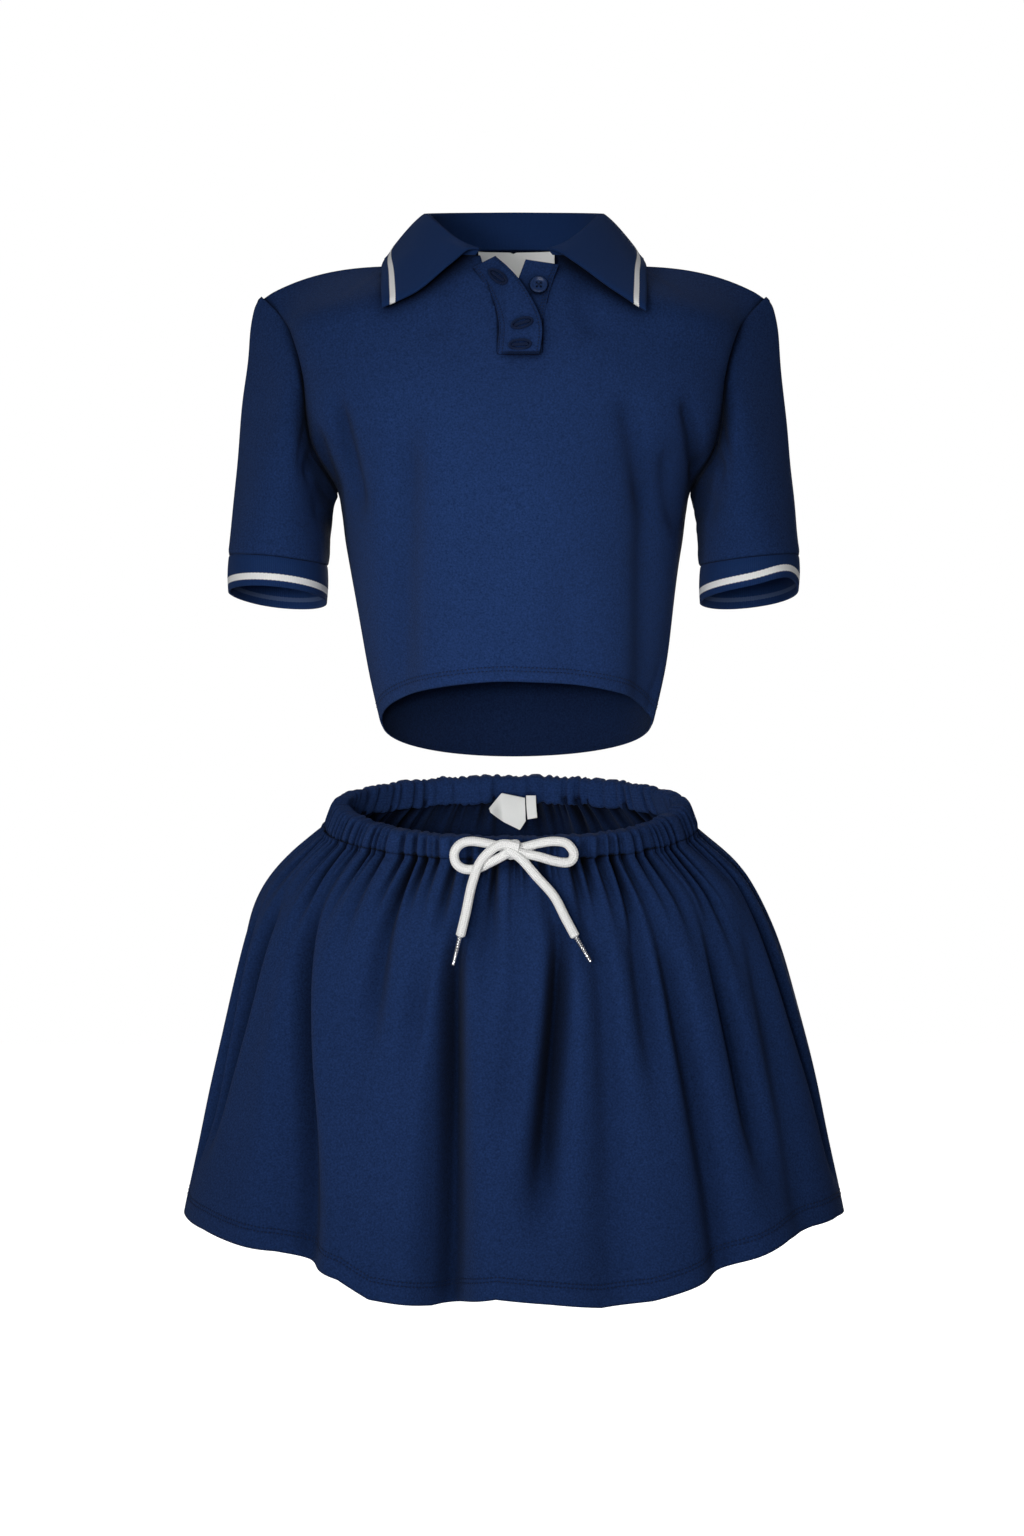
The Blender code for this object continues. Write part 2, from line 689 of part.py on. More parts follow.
def make_elastic(steps=48):
    made = bmesh.new()
    ring_tube(made, section_of(*ELASTIC, shift=-ELASTIC_IN), steps, inside=False)
    mesh = bpy.data.meshes.new("waist_elastic")
    made.to_mesh(mesh)
    made.free()
    return add_object("waist_elastic", mesh, material("elastic", (0.75, 0.75, 0.73), 0.7))


def make_drawcord(steps=26):
    """The cord inside the casing: out of one hole, right round the waist and out of the other."""
    path = []
    for k in range(steps + 1):
        a = math.radians(mix(-90 + 8.5, 270 - 8.5, k / steps))
        path.append(Vector(waist_point(a, CORD_OUT, 0)))
    z = waist_point(-math.pi / 2, 0, 0)[2]
    ends = [[Vector((side * CORD_HOLE_X, y, z)) for y in (-0.1150, -0.1060, -0.1010)] for side in (1, -1)]
    return tube("drawcord", ends[0] + path + ends[1][::-1], CORD_RADIUS, cord_look(), sides=6, lengthwise=2)


def skirt_point(a, t):
    """The outer face of the skirt: a is the angle round it, t runs from the waist seam to the hem."""
    flare = 0.45 * (1 - math.exp(-t / 0.15)) + 0.55 * t
    top = (WAIST_AXES[0] + 0.006, WAIST_AXES[1] + 0.006)
    x = mix(top[0], SKIRT_HEM_AXES[0], flare) * math.cos(a)
    y = mix(top[1], SKIRT_HEM_AXES[1], flare) * math.sin(a)
    wave = FOLD_DEPTH * smooth(t * 1.2) * (math.cos(2 * SKIRT_FOLDS * a) - 1)
    outward = Vector((math.cos(a), math.sin(a), 0))
    slant = mix(WAIST_SLANT, SKIRT_SLANT, t)
    z = mix(SKIRT_TOP_Z, SKIRT_HEM_Z, t)
    return Vector((x, y, z + slant * y)) + outward * wave


def make_skirt_panel(name, front, top, bottom, rows, columns=36):
    """The front or back panel between two shares of the skirt's length."""
    start = -180 if front else 0
    margin = 0.25
    grid = []
    for r in range(rows + 1):
        ring = []
        for c in range(columns + 1):
            a = math.radians(mix(start + margin, start + 180 - margin, c / columns))
            ring.append(skirt_point(a, mix(top, bottom, r / rows)))
        grid.append(ring)
    return sheet(name, grid, FABRIC, knit(), flip=True)


# ---- drawcord bow ---------------------------------------------------------------------------------
def cord_look():
    return material("white_cord", WHITE, 0.75)


def make_knot():
    """The knot: a flattened ball with its axis along Y, which the loops and tails turn about."""
    made = bmesh.new()
    bmesh.ops.create_uvsphere(made, u_segments=14, v_segments=8, radius=1.0)
    bmesh.ops.scale(made, vec=(KNOT_RADIUS, 0.0052, KNOT_RADIUS), verts=made.verts)
    mesh = bpy.data.meshes.new("bow_knot")
    made.to_mesh(mesh)
    made.free()
    mesh.shade_smooth()
    obj = add_object("bow_knot", mesh, cord_look())
    obj.location = KNOT
    return obj


def make_loop(name, side, length, drop):
    """One loop of the bow: out from the knot, round, and back in below."""
    outline = ((0.0125, 0.0040), (0.0260, 0.0105), (0.0440, 0.0090), (length, -0.0010 - drop * 0.3))
    outline += ((0.0430, -0.0100 - drop), (0.0260, -0.0095 - drop), (0.0125, -0.0046))
    points = [KNOT + Vector((side * x, 0, z)) for x, z in outline]
    return tube(name, points, BOW_RADIUS, cord_look(), lengthwise=4)


def tail_place(x, drop):
    """In front of the knot and the loops, leaning forward with the flare of the skirt."""
    return KNOT + Vector((x, -0.0085 - TAIL_PLANE_LEAN * drop, -drop))


def make_tail(name, outline):
    return tube(name, [tail_place(x, drop) for x, drop in outline], BOW_RADIUS, cord_look(), lengthwise=3)


def make_aglet(name, start, end):
    """The metal tip crimped on the cord's end: a slim tapered pin."""
    a, b = tail_place(*start), tail_place(*end)
    axis = b - a
    made = bmesh.new()
    bmesh.ops.create_cone(made, cap_ends=True, segments=10, radius1=0.0019, radius2=0.0012, depth=axis.length)
    mesh = bpy.data.meshes.new(name)
    made.to_mesh(mesh)
    made.free()
    obj = add_object(name, mesh, material("steel", STEEL, 0.25, 1.0))
    obj.location = (a + b) / 2
    obj.rotation_mode = "QUATERNION"
    obj.rotation_quaternion = axis.to_track_quat("Z", "Y")
    return obj


# ---- the whole uniform ----------------------------------------------------------------------------
def make_top():
    front = make_panel("front_panel", True, 20, 12)
    cut(front, placket_cutter())
    make_panel("back_panel", False, 18, 9)
    make_collar_stand("collar_stand")
    make_collar_back("collar_back_fall")
    make_plackets()
    for name, side in (("right", -1), ("left", 1)):
        make_shoulder_tape(f"{name}_shoulder_tape", side)
        sleeve = make_sleeve(f"{name}_sleeve", side)
        cuff = make_cuff(f"{name}_cuff", side)
        place = (side * SLEEVE_PIVOT[0], 0, SLEEVE_PIVOT[1])
        pivot(f"{name}_sleeve_pivot", place, (0, -side, 0), sleeve, cuff)
        leaf = make_collar_leaf(f"{name}_collar_leaf", side)
        front_end, shoulder_end = (mirrored(fold_point(degrees), side) for degrees in (COLLAR_START, 89))
        pivot(f"{name}_collar_fold", (front_end + shoulder_end) / 2, (front_end - shoulder_end) * side, leaf)
    for k, (x, z) in enumerate(BUTTONS, 1):
        make_button(f"button_{k}", x, z)
        make_button_thread(f"button_thread_{k}", x, z)
    pivot("neck_label_fold", (0, NECK_BACK_Y - 0.0035, 0.8250), (-1, 0, 0), make_neck_label())


def make_bow():
    """The tied ends of the drawcord, with an empty for each loop and tail at the knot."""
    tails = {
        "right": ((-0.0090, -0.0070), (-0.0200, 0.0040), (-0.0290, 0.0260), (-0.0420, 0.0655)),
        "left": ((0.0080, 0.0080), (0.0190, 0.0170), (0.0330, 0.0410), (0.0500, 0.0660)),
    }
    tips = {"right": ((-0.0426, 0.0665), (-0.0478, 0.0870)), "left": ((0.0506, 0.0668), (0.0612, 0.0850))}
    loops = {"right": (0.0525, 0.0035), "left": (0.0540, 0.0)}
    moving = []
    for name, side in (("right", -1), ("left", 1)):
        loop = make_loop(f"{name}_bow_loop", side, *loops[name])
        moving.append(pivot(f"{name}_loop_pivot", KNOT, (0, -side, 0), loop))
        tail = make_tail(f"{name}_cord_tail", tails[name])
        aglet = make_aglet(f"{name}_aglet", *tips[name])
        moving.append(pivot(f"{name}_tail_pivot", KNOT, (0, -side, 0), tail, aglet))
    return moving


def make_skirt():
    carried = [make_casing(), make_elastic(), make_drawcord(), make_knot()] + make_bow()
    gap = GAP / (SKIRT_TOP_Z - SKIRT_HEM_Z)
    for name, side in (("front", -1), ("back", 1)):
        front = side < 0
        carried.append(make_skirt_panel(f"skirt_{name}_upper", front, 0.0, SWING_T - gap, 2))
        hem = make_skirt_panel(f"skirt_{name}_hem", front, SWING_T + gap, 1.0, 4)
        middle, seam = skirt_point(side * math.pi / 2, SWING_T), skirt_point(0, SWING_T)
        place = (0, middle.y, max(middle.z, seam.z))
        carried.append(pivot(f"skirt_{name}_swing", place, (side, 0, 0), hem))
    care = make_tab("care_label", -0.006, 0.027, 0.3865, 0.029, 0.0880, 0.004)
    size = make_tab("size_label", 0.0145, 0.009, 0.3850, 0.017, 0.0865, 0.002)
    carried.append(pivot("care_label_fold", (-0.006, 0.0880, 0.3865), (-1, 0, 0), care))
    carried.append(pivot("size_label_fold", (0.0145, 0.0865, 0.3850), (-1, 0, 0), size))
    pivot("skirt", (0, 0, WAIST_Z), (0, 0, -1), *carried)


clear_scene()
make_top()
make_skirt()
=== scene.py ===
import math

import bmesh
import bpy
import numpy as np
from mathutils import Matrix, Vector


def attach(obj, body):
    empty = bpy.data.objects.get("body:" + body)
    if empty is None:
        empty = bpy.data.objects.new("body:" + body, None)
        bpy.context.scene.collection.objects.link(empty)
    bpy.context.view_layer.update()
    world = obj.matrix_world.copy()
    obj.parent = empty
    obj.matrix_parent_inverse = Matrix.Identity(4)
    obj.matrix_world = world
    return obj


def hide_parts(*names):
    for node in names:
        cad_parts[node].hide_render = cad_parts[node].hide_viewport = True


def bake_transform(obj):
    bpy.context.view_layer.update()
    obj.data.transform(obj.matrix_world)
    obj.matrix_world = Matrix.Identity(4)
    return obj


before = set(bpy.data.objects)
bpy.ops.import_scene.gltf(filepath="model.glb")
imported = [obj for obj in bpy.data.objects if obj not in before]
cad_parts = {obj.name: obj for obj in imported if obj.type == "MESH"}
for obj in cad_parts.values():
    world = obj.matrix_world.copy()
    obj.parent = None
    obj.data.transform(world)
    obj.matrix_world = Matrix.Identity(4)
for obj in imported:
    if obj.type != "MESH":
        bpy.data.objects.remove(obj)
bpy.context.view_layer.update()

# Cheer uniform: a cropped knit polo top above a gathered skirt, both held open as worn. Metres, +Z up, the
# garments face -Y. "Right" and "left" are the wearer's, so the right sleeve lies at -X.

MM = 0.001
TURN = 2 * math.pi
SIDES = (("right", -1), ("left", 1))

FABRIC = 0.0012  # thickness of the body knit
RIB = 0.0016  # thickness of cuffs and collar
LABEL_CLOTH = 0.0005  # thickness of the labels
THREAD = 0.00034  # radius of a sewing thread
WALE, COURSE = 0.00125, 0.001  # the jersey's loops: distance across and along
COLLAR_RIDGE, CUFF_RIDGE = 0.0011, 0.0016  # distance between the ridges of the ribs
STRIPE_EDGE = 0.0003  # half the width over which a knitted stripe fades
BRAID_PITCH, BRAID_STRANDS = 0.003, 5

# The panels from the hem up: height and half width at the side, then for the front and for the back the
# height in the middle, and how far the cloth stands off the middle plane there and at the side.
PANEL_ROWS = (
    (0.441, 0.107, (0.47, 0.088, 0.0), (0.413, 0.086, 0.0)),
    (0.48, 0.116, (0.505, 0.097, 0.0), (0.462, 0.088, 0.0)),
    (0.53, 0.125, (0.55, 0.112, 0.0), (0.518, 0.093, 0.0)),
    (0.58, 0.134, (0.6, 0.125, 0.0), (0.575, 0.098, 0.0)),
    (0.622, 0.141, (0.65, 0.122, 0.003), (0.63, 0.101, 0.003)),
    (0.66, 0.161, (0.695, 0.111, 0.034), (0.68, 0.1, 0.03)),
    (0.71, 0.167, (0.74, 0.097, 0.043), (0.73, 0.096, 0.04)),
    (0.748, 0.178, (0.775, 0.085, 0.03), (0.778, 0.088, 0.028)),
)
HEM_STITCHES = {"front": (0.0088, 0.0118), "back": (0.015, 0.018), "skirt": (0.014, 0.0172)}
UNDERARM_T = 0.5  # share of a panel's height at which the sleeve is set in
NECK_X, NECK_Z, NECK_Z_SWING = 0.08, 0.815, 0.012
NECK_FRONT_Y, NECK_BACK_Y = -0.077, 0.07
SHOULDER_TIP = (0.203, 0.778)
SHOULDER_DIP = 0.01
CUFF_CENTRE = (0.1885, 0.0, 0.57)
CUFF_AXES = (0.039, 0.054)
CUFF_HEIGHT = 0.03
COLLAR_START = 22.0  # degrees from the front at which the collar begins
KNOT = np.array((-0.001, -0.1225, 0.341))
CORD_RADIUS = 0.0036  # the bow's cord, which is loose; inside the casing it is pressed thinner
PRESSED_CORD = 0.0025
WAIST_AXES = (0.146, 0.097)
WAIST_Z, WAIST_SLANT = 0.3665, 0.234
SKIRT_TOP_Z, SKIRT_HEM_Z, SKIRT_HEM_AXES, SKIRT_SLANT = 0.353, 0.051, (0.264, 0.17), 0.3
FLOOR_Z = -0.26

NAVY = (0.012, 0.0315, 0.108)
NAVY_RIB = (0.0094, 0.0285, 0.101)
# Painted shade: the inner face of the knit at 40% of its colour, for the dark inside of the garment.
NAVY_INSIDE_SHADE = tuple(0.4 * c for c in NAVY)
WHITE = (0.86, 0.86, 0.85)
FIBRE_TINT = (0.45, 0.6, 1.0, 1.0)


# ---- numbers and curves ----
def smooth(t):
    t = np.clip(t, 0.0, 1.0)
    return t * t * (3 - 2 * t)


def mix(a, b, t):
    return a + (b - a) * t


def bell(x, centre, width):
    return np.exp(-(((x - centre) / width) ** 2))


def around(count):
    """Angles in equal steps round a full turn."""
    return np.linspace(0, TURN, count, endpoint=False)


def catmull(rows, t):
    """The smooth curve through equally spaced rows, at each t from 0 to 1."""
    rows = np.asarray(rows, float)
    last = len(rows) - 1
    at = np.clip(np.asarray(t, float) * last, 0, last - 1e-9)
    i = at.astype(int)
    u = (at - i).reshape((-1,) + (1,) * (rows.ndim - 1))
    a, b, c, d = (rows[np.clip(i + k, 0, last)] for k in (-1, 0, 1, 2))
    return 0.5 * (2 * b + (c - a) * u + (2 * a - 5 * b + 4 * c - d) * u**2 + (3 * b - a - 3 * c + d) * u**3)


def merge(*values):
    """One array of points from their coordinates, each given over the grid or along one side of it."""
    return np.stack(np.broadcast_arrays(*values), -1)


def run_along(points):
    """The distance from the first point to each point of a polyline, or down each column of a grid."""
    steps = np.linalg.norm(np.diff(points, axis=0), axis=-1)
    return np.concatenate([np.zeros_like(steps[:1]), np.cumsum(steps, axis=0)])


def read_at(places, run, rows):
    """Rows that belong to the distances in run, read off at other distances."""
    return np.stack([np.interp(places, run, rows[:, k]) for k in range(3)], -1)


def resample(line, count):
    """The polyline's points at equal distances."""
    run = run_along(line)
    return read_at(np.linspace(0, run[-1], count), run, line)


def curve_through(places, count):
    """Evenly spaced points along the smooth curve through a few places."""
    return resample(catmull(np.array(places), np.linspace(0, 1, 300)), count)


def unit(v):
    return v / np.maximum(np.linalg.norm(v, axis=-1, keepdims=True), 1e-12)


def grid_normals(points, wrap=False):
    across = np.roll(points, -1, 1) - np.roll(points, 1, 1) if wrap else np.gradient(points, axis=1)
    return unit(np.cross(across, np.gradient(points, axis=0)))


def ripple(a, b, seed, amount, scale):
    """Shallow unevenness of hanging cloth, from a few crossing waves."""
    rng = np.random.default_rng(seed)
    total = 0
    for _ in range(7):
        angle, phase, size = rng.uniform(0, TURN), rng.uniform(0, TURN), rng.uniform(0.6, 1.8)
        total = total + np.sin((a * math.cos(angle) + b * math.sin(angle)) * TURN / (scale * size) + phase)
    return amount * total / 3.5


# ---- looks ----
class Look:
    """A procedural material, with short calls that add nodes."""

    def __init__(self, name, colour, roughness, specular, metallic=0.0, sheen=0.0):
        self.material = bpy.data.materials.new(name)
        self.material.use_nodes = True
        self.tree = self.material.node_tree
        self.shader = self.tree.nodes["Principled BSDF"]
        self.set("Base Color", (*colour, 1.0))
        self.set("Roughness", roughness)
        self.set("Specular IOR Level", specular)
        self.set("Metallic", metallic)
        self.set("Sheen Weight", sheen)
        self.set("Sheen Roughness", 0.45)
        self.set("Sheen Tint", FIBRE_TINT)

    def set(self, name, value):
        self.shader.inputs[name].default_value = value

    def link(self, value, socket):
        if isinstance(value, (int, float, tuple)):
            socket.default_value = value
        else:
            self.tree.links.new(value, socket)

    def node(self, kind, inputs=None, **settings):
        made = self.tree.nodes.new(kind)
        for key, value in settings.items():
            setattr(made, key, value)
        for key, value in (inputs or {}).items():
            self.link(value, made.inputs[key])
        return made

    def math(self, operation, a, b=0.0, c=0.0):
        return self.node("ShaderNodeMath", {0: a, 1: b, 2: c}, operation=operation).outputs[0]

    def times(self, *values):
        """All the values multiplied."""
        total = values[0]
        for value in values[1:]:
            total = self.math("MULTIPLY", total, value)
        return total

    def fit(self, value, gain, base):
        """The value times a gain, plus a base."""
        return self.math("MULTIPLY_ADD", value, gain, base)

    def wave(self, value, length):
        """A sine wave, one turn to each length."""
        return self.math("SINE", self.times(value, TURN / length))

    def crossing(self, one, two):
        """Height of two families of threads that cross, from 0 to 1."""
        return self.fit(self.times(one, two), 0.5, 0.5)

    def uv(self):
        """The cloth's own coordinates in metres: across the wales, and along them from the free edge."""
        place = self.node("ShaderNodeUVMap", uv_map="UVMap").outputs[0]
        return self.node("ShaderNodeSeparateXYZ", {0: place}).outputs[:2]

    def noise(self, scale, detail=3.0):
        place = self.node("ShaderNodeTexCoord").outputs["Object"]
        inputs = {"Vector": place, "Scale": scale, "Detail": detail}
        return self.node("ShaderNodeTexNoise", inputs).outputs["Fac"]

    def blend(self, share, a, b):
        return self.node("ShaderNodeMix", {0: share, 6: a, 7: b}, data_type="RGBA").outputs[2]

    def shade(self, factor, colour):
        """The colour times a number that changes over the surface."""
        return self.node("ShaderNodeVectorMath", {0: colour, "Scale": factor}, operation="SCALE").outputs[0]

    def crevice_shade(self, distance, power):
        """Painted shade: 1 in the open, less where cloth lies close in front, as in the bottom of a crease.
        """
        made = self.node("ShaderNodeAmbientOcclusion", {"Distance": distance}, samples=6)
        return self.math("POWER", made.outputs["AO"], power)

    def colour(self, value):
        self.link(value, self.shader.inputs["Base Color"])

    def bump(self, height, distance, strength):
        made = self.node("ShaderNodeBump", {"Strength": strength, "Distance": distance, "Height": height})
        self.link(made.outputs[0], self.shader.inputs["Normal"])

    def band(self, value, low, high):
        """1 where the value lies between low and high, with soft edges."""
        edges = []
        for at in (low, high):
            inputs = {"Value": value, "From Min": at - STRIPE_EDGE, "From Max": at + STRIPE_EDGE}
            edges.append(self.node("ShaderNodeMapRange", inputs, interpolation_type="SMOOTHSTEP").outputs[0])
        return self.math("SUBTRACT", *edges)

    def knit_height(self):
        """Rows of V-shaped knit loops, from 0 in the gaps to 1 on the yarn."""
        u, v = self.uv()
        across = self.math("FRACT", self.math("DIVIDE", u, WALE))
        away = self.times(self.math("ABSOLUTE", self.math("SUBTRACT", across, 0.5)), 2.0)
        leg = self.times(away, self.math("SUBTRACT", 1.0, away), 4.0)
        turn = self.math("ADD", self.math("DIVIDE", v, COURSE), self.times(away, 0.55))
        return self.times(leg, self.fit(self.wave(turn, 1.0), 0.3, 0.7))


def knit_look(name, colour):
    """Fine cotton jersey: V loops, slight shade changes from yarn to yarn, a soft bloom of loose fibre, and
    painted shade in the gaps between loops and in the bottom of creases.
    """
    look = Look(name, colour, 0.95, specular=0.05, sheen=0.04)
    height = look.knit_height()
    # Painted shade: the colour is darker in the gaps between the loops and lighter on the yarn.
    yarn = look.fit(height, 0.3, 0.8)
    fleck = look.fit(look.noise(700.0), 1.5, 0.25)
    broad = look.fit(look.noise(14.0, 4.0), 0.16, 0.92)
    # Painted shade in the bottom of creases and folds, wherever cloth lies close in front, at two distances.
    creases = look.crevice_shade(0.022, 1.7), look.crevice_shade(0.006, 1.1)
    look.colour(look.shade(look.times(yarn, fleck, broad, *creases), colour))
    look.bump(look.fit(look.noise(2600.0, 2.0), 0.25, height), 0.00022, 0.75)
    return look.material


def rib_look(name, ridge_pitch, stripe=None, stripe_colour=WHITE):
    """Flat-knit rib: fine ridges, with a stripe between two distances from the free edge."""
    look = Look(name, NAVY_RIB, 0.95, specular=0.05, sheen=0.04)
    u, v = look.uv()
    rib = look.wave(u, 2 * ridge_pitch)
    course = look.fit(look.wave(v, 0.0009), 0.5, 0.5)
    height = look.fit(course, 0.28, look.times(look.math("ABSOLUTE", rib), 0.72))
    fleck = look.fit(look.noise(900.0, 2.0), 0.3, 0.85)
    # Painted shade: darker between the ridges and courses, lighter on them; the stripe below gets the same.
    shown = look.shade(look.times(look.fit(height, 0.34, 0.76), fleck), NAVY_RIB)
    if stripe:
        wobble = look.fit(rib, 0.00012, v)
        pale = look.shade(look.fit(height, 0.1, 0.92), stripe_colour)
        shown = look.blend(look.band(wobble, *stripe), shown, pale)
    look.colour(shown)
    look.bump(height, 0.00035, 0.7)
    return look.material


def cord_look():
    """Braided cotton cord: two families of strands that cross."""
    look = Look("cord_white", WHITE, 0.75, specular=0.15, sheen=0.15)
    look.set("Sheen Tint", (1.0, 1.0, 1.0, 1.0))
    u, v = look.uv()
    along = look.times(v, TURN / BRAID_PITCH)
    strands = look.times(u, TURN * BRAID_STRANDS)
    one, two = (look.math("SINE", look.math(sign, along, strands)) for sign in ("ADD", "SUBTRACT"))
    height = look.crossing(one, two)
    # Painted shade: darker in the gaps between the strands, lighter where they cross on top.
    look.colour(look.shade(look.fit(height, 0.14, 0.88), WHITE))
    look.bump(look.fit(look.noise(1500.0, 2.0), 0.3, height), 0.00045, 0.8)
    return look.material


def weave_look(name, colour, roughness, pitch):
    """Plain woven tape or label: threads over and under."""
    look = Look(name, colour, roughness, specular=0.25)
    u, v = look.uv()
    height = look.crossing(look.wave(u, pitch), look.wave(v, pitch))
    broad = look.fit(look.noise(60.0), 0.1, 0.94)
    # Painted shade: darker where the threads dip under, lighter where they lie on top.
    look.colour(look.shade(look.times(look.fit(height, 0.08, 0.93), broad), colour))
    look.bump(height, 0.00008, 0.6)
    return look.material


def plain_look(name, colour, roughness, specular, metallic=0.0, grain=0.0):
    look = Look(name, colour, roughness, specular, metallic)
    look.colour(look.shade(look.fit(look.noise(120.0), 0.16, 0.92), colour))
    if grain:
        look.bump(look.noise(1800.0), grain, 0.6)
    return look.material


KNIT = knit_look("navy_jersey", NAVY)
KNIT_INSIDE_SHADE = knit_look("navy_knit_inside_shade", NAVY_INSIDE_SHADE)
COLLAR = rib_look("navy_collar_rib", COLLAR_RIDGE, (0.0068, 0.0115))
STAND = rib_look("navy_stand_rib", COLLAR_RIDGE)
CUFF = rib_look("navy_cuff_rib", CUFF_RIDGE, (0.005, 0.01))
# Painted shade: inside the cuff the white stripe is dark blue, as it lies in shadow there.
CUFF_SHADED_INSIDE = rib_look("navy_cuff_shaded_inside", CUFF_RIDGE, (0.0057, 0.0092), stripe_colour=(0.05, 0.08, 0.17))
CORD = cord_look()
LABEL = weave_look("label_satin", (0.8, 0.81, 0.8), 0.45, 0.0004)
TAPE = weave_look("tape_twill", (0.78, 0.78, 0.76), 0.8, 0.0006)
ELASTIC = weave_look("elastic_web", (0.74, 0.74, 0.72), 0.75, 0.0012)
STITCH = plain_look("navy_stitch", (0.0045, 0.012, 0.042), 0.7, 0.15, grain=0.00005)
BUTTON = plain_look("navy_resin", (0.011, 0.028, 0.09), 0.34, 0.25)
METAL = plain_look("bright_steel", (0.8, 0.8, 0.82), 0.22, 0.5, metallic=1.0)


# ---- pieces ----
def add_mesh(name, verts, faces, uvs, look):
    mesh = bpy.data.meshes.new(name)
    mesh.from_pydata(np.asarray(verts).reshape(-1, 3).tolist(), [], faces)
    if uvs is not None:
        mesh.uv_layers.new(name="UVMap").data.foreach_set("uv", np.asarray(uvs, np.float32).ravel())
    mesh.materials.append(look)
    mesh.shade_smooth()
    obj = bpy.data.objects.new(name, mesh)
    bpy.context.scene.collection.objects.link(obj)
    return obj


def arc_uv(points, row, wrap=False):
    """u is the distance along one chosen row, v the distance from the first row down each column."""
    if wrap:
        points = np.concatenate([points, points[:, :1]], axis=1)
    return merge(run_along(points[row]), run_along(points))


def sheet(name, points, uv, look, thickness=FABRIC, wrap=False, flip=False, inside=None):
    """A cloth piece over a grid of points, its thickness on the inner side."""
    rows, cols = points.shape[:2]
    r, c = np.meshgrid(np.arange(rows - 1), np.arange(cols if wrap else cols - 1), indexing="ij")
    here, beside = r * cols + c, r * cols + (c + 1) % cols
    quads = merge(here, beside, beside + cols, here + cols).reshape(-1, 4)
    uvs = np.stack([uv[r, c], uv[r, c + 1], uv[r + 1, c + 1], uv[r + 1, c]], 2).reshape(-1, 4, 2)
    if flip:
        quads, uvs = quads[:, ::-1], uvs[:, ::-1]
    obj = add_mesh(name, points, quads.tolist(), uvs, look)
    if thickness:
        solidify = obj.modifiers.new("thickness", "SOLIDIFY")
        solidify.thickness = thickness
        solidify.offset = -1.0
        if inside:
            obj.data.materials.append(inside)
            solidify.material_offset = 1
    return obj


def tube(name, line, radius, look, sides=16, relief=None, closed=False):
    """A round cord along a line of points. relief(share round, distance along) adds a share of the radius."""
    line = np.asarray(line, float)
    radius = np.broadcast_to(radius, len(line)).astype(float)
    run = run_along(line)
    ahead = unit(np.roll(line, -1, 0) - np.roll(line, 1, 0)) if closed else unit(np.gradient(line, axis=0))
    side = unit(np.cross(ahead[0], (0.0, 0.0, 1.0) if abs(ahead[0][2]) < 0.9 else (1.0, 0.0, 0.0)))
    one = []
    for direction in ahead:
        side = unit(side - direction * (side @ direction))
        one.append(side)
    one = np.array(one)
    two = np.cross(ahead, one)
    share = np.arange(sides + 1) / sides
    angle = (TURN * share[:-1])[None, :, None]
    reach = radius[:, None]
    if relief:
        reach = reach * (1 + relief(share[None, :-1], run[:, None]))
    points = line[:, None] + reach[..., None] * (np.cos(angle) * one[:, None] + np.sin(angle) * two[:, None])
    uv = merge(share[None, :], run[:, None])
    if closed:
        points = np.concatenate([points, points[:1]])
        uv = np.concatenate([uv, uv[-1:] + (0, run[-1] / len(line))])
    else:
        ends = [np.broadcast_to(line[k], (1, sides, 3)) for k in (0, -1)]
        points = np.concatenate([ends[0], points, ends[1]])
        uv = np.concatenate([uv[:1], uv, uv[-1:]])
    return sheet(name, points, uv, look, thickness=0, wrap=True)


def braid(share, along):
    """How far the strands of the cord stand out, at a share of the way round and a distance along."""
    one, two = (np.sin(TURN * (along / BRAID_PITCH + sign * BRAID_STRANDS * share)) for sign in (1, -1))
    return 0.055 * one * two


def line_on(points, normals, distance):
    """A line on a grid at a set distance from its first row, with the surface's normals along it."""
    run = run_along(points)
    place, facing = (
        np.array([read_at(distance, run[:, c], grid[:, c]) for c in range(grid.shape[1])])
        for grid in (points, normals)
    )
    return place, unit(facing)


def stitches(name, line, normals, length=0.0024, pitch=0.0031):
    """A row of sewn stitches: each a short thread that dips into the cloth at both ends."""
    run = run_along(line)
    at = np.arange(pitch / 2, run[-1], pitch)
    centre = read_at(at, run, line)
    up = unit(read_at(at, run, normals))
    ahead = unit(read_at(at, run, np.gradient(line, axis=0)))
    across = unit(np.cross(ahead, up))
    # Rings along one stitch: place as a share of its length, size, and height in thread radii.
    rings = ((-0.5, 0.45, -1.2), (-0.3, 1.0, 0.1), (0.3, 1.0, 0.1), (0.5, 0.45, -1.2))
    sides = 6
    verts = []
    for along, size, lift in rings:
        for a in around(sides):
            offset = up * (THREAD * (size * math.sin(a) + lift)) + across * (THREAD * size * math.cos(a))
            verts.append(centre + ahead * (along * length) + offset)
    block = []
    for r in range(len(rings) - 1):
        for k in range(sides):
            here, beside = r * sides + k, r * sides + (k + 1) % sides
            block.append((here, beside, beside + sides, here + sides))
    per = len(verts)
    block += [tuple(range(sides))[::-1], tuple(range(per - sides, per))]
    faces = [tuple(n * per + k for k in face) for n in range(len(centre)) for face in block]
    return add_mesh(name, np.stack(verts, 1), faces, None, STITCH)


def subtract(obj, tool):
    """Cuts the tool's shape out of the object, and removes the tool."""
    boolean = obj.modifiers.new("opening", "BOOLEAN")
    boolean.operation = "DIFFERENCE"
    boolean.object = tool
    bpy.context.view_layer.update()
    graph = bpy.context.evaluated_depsgraph_get()
    made = bpy.data.meshes.new_from_object(obj.evaluated_get(graph))
    obj.modifiers.clear()
    obj.data = made
    bpy.data.objects.remove(tool)


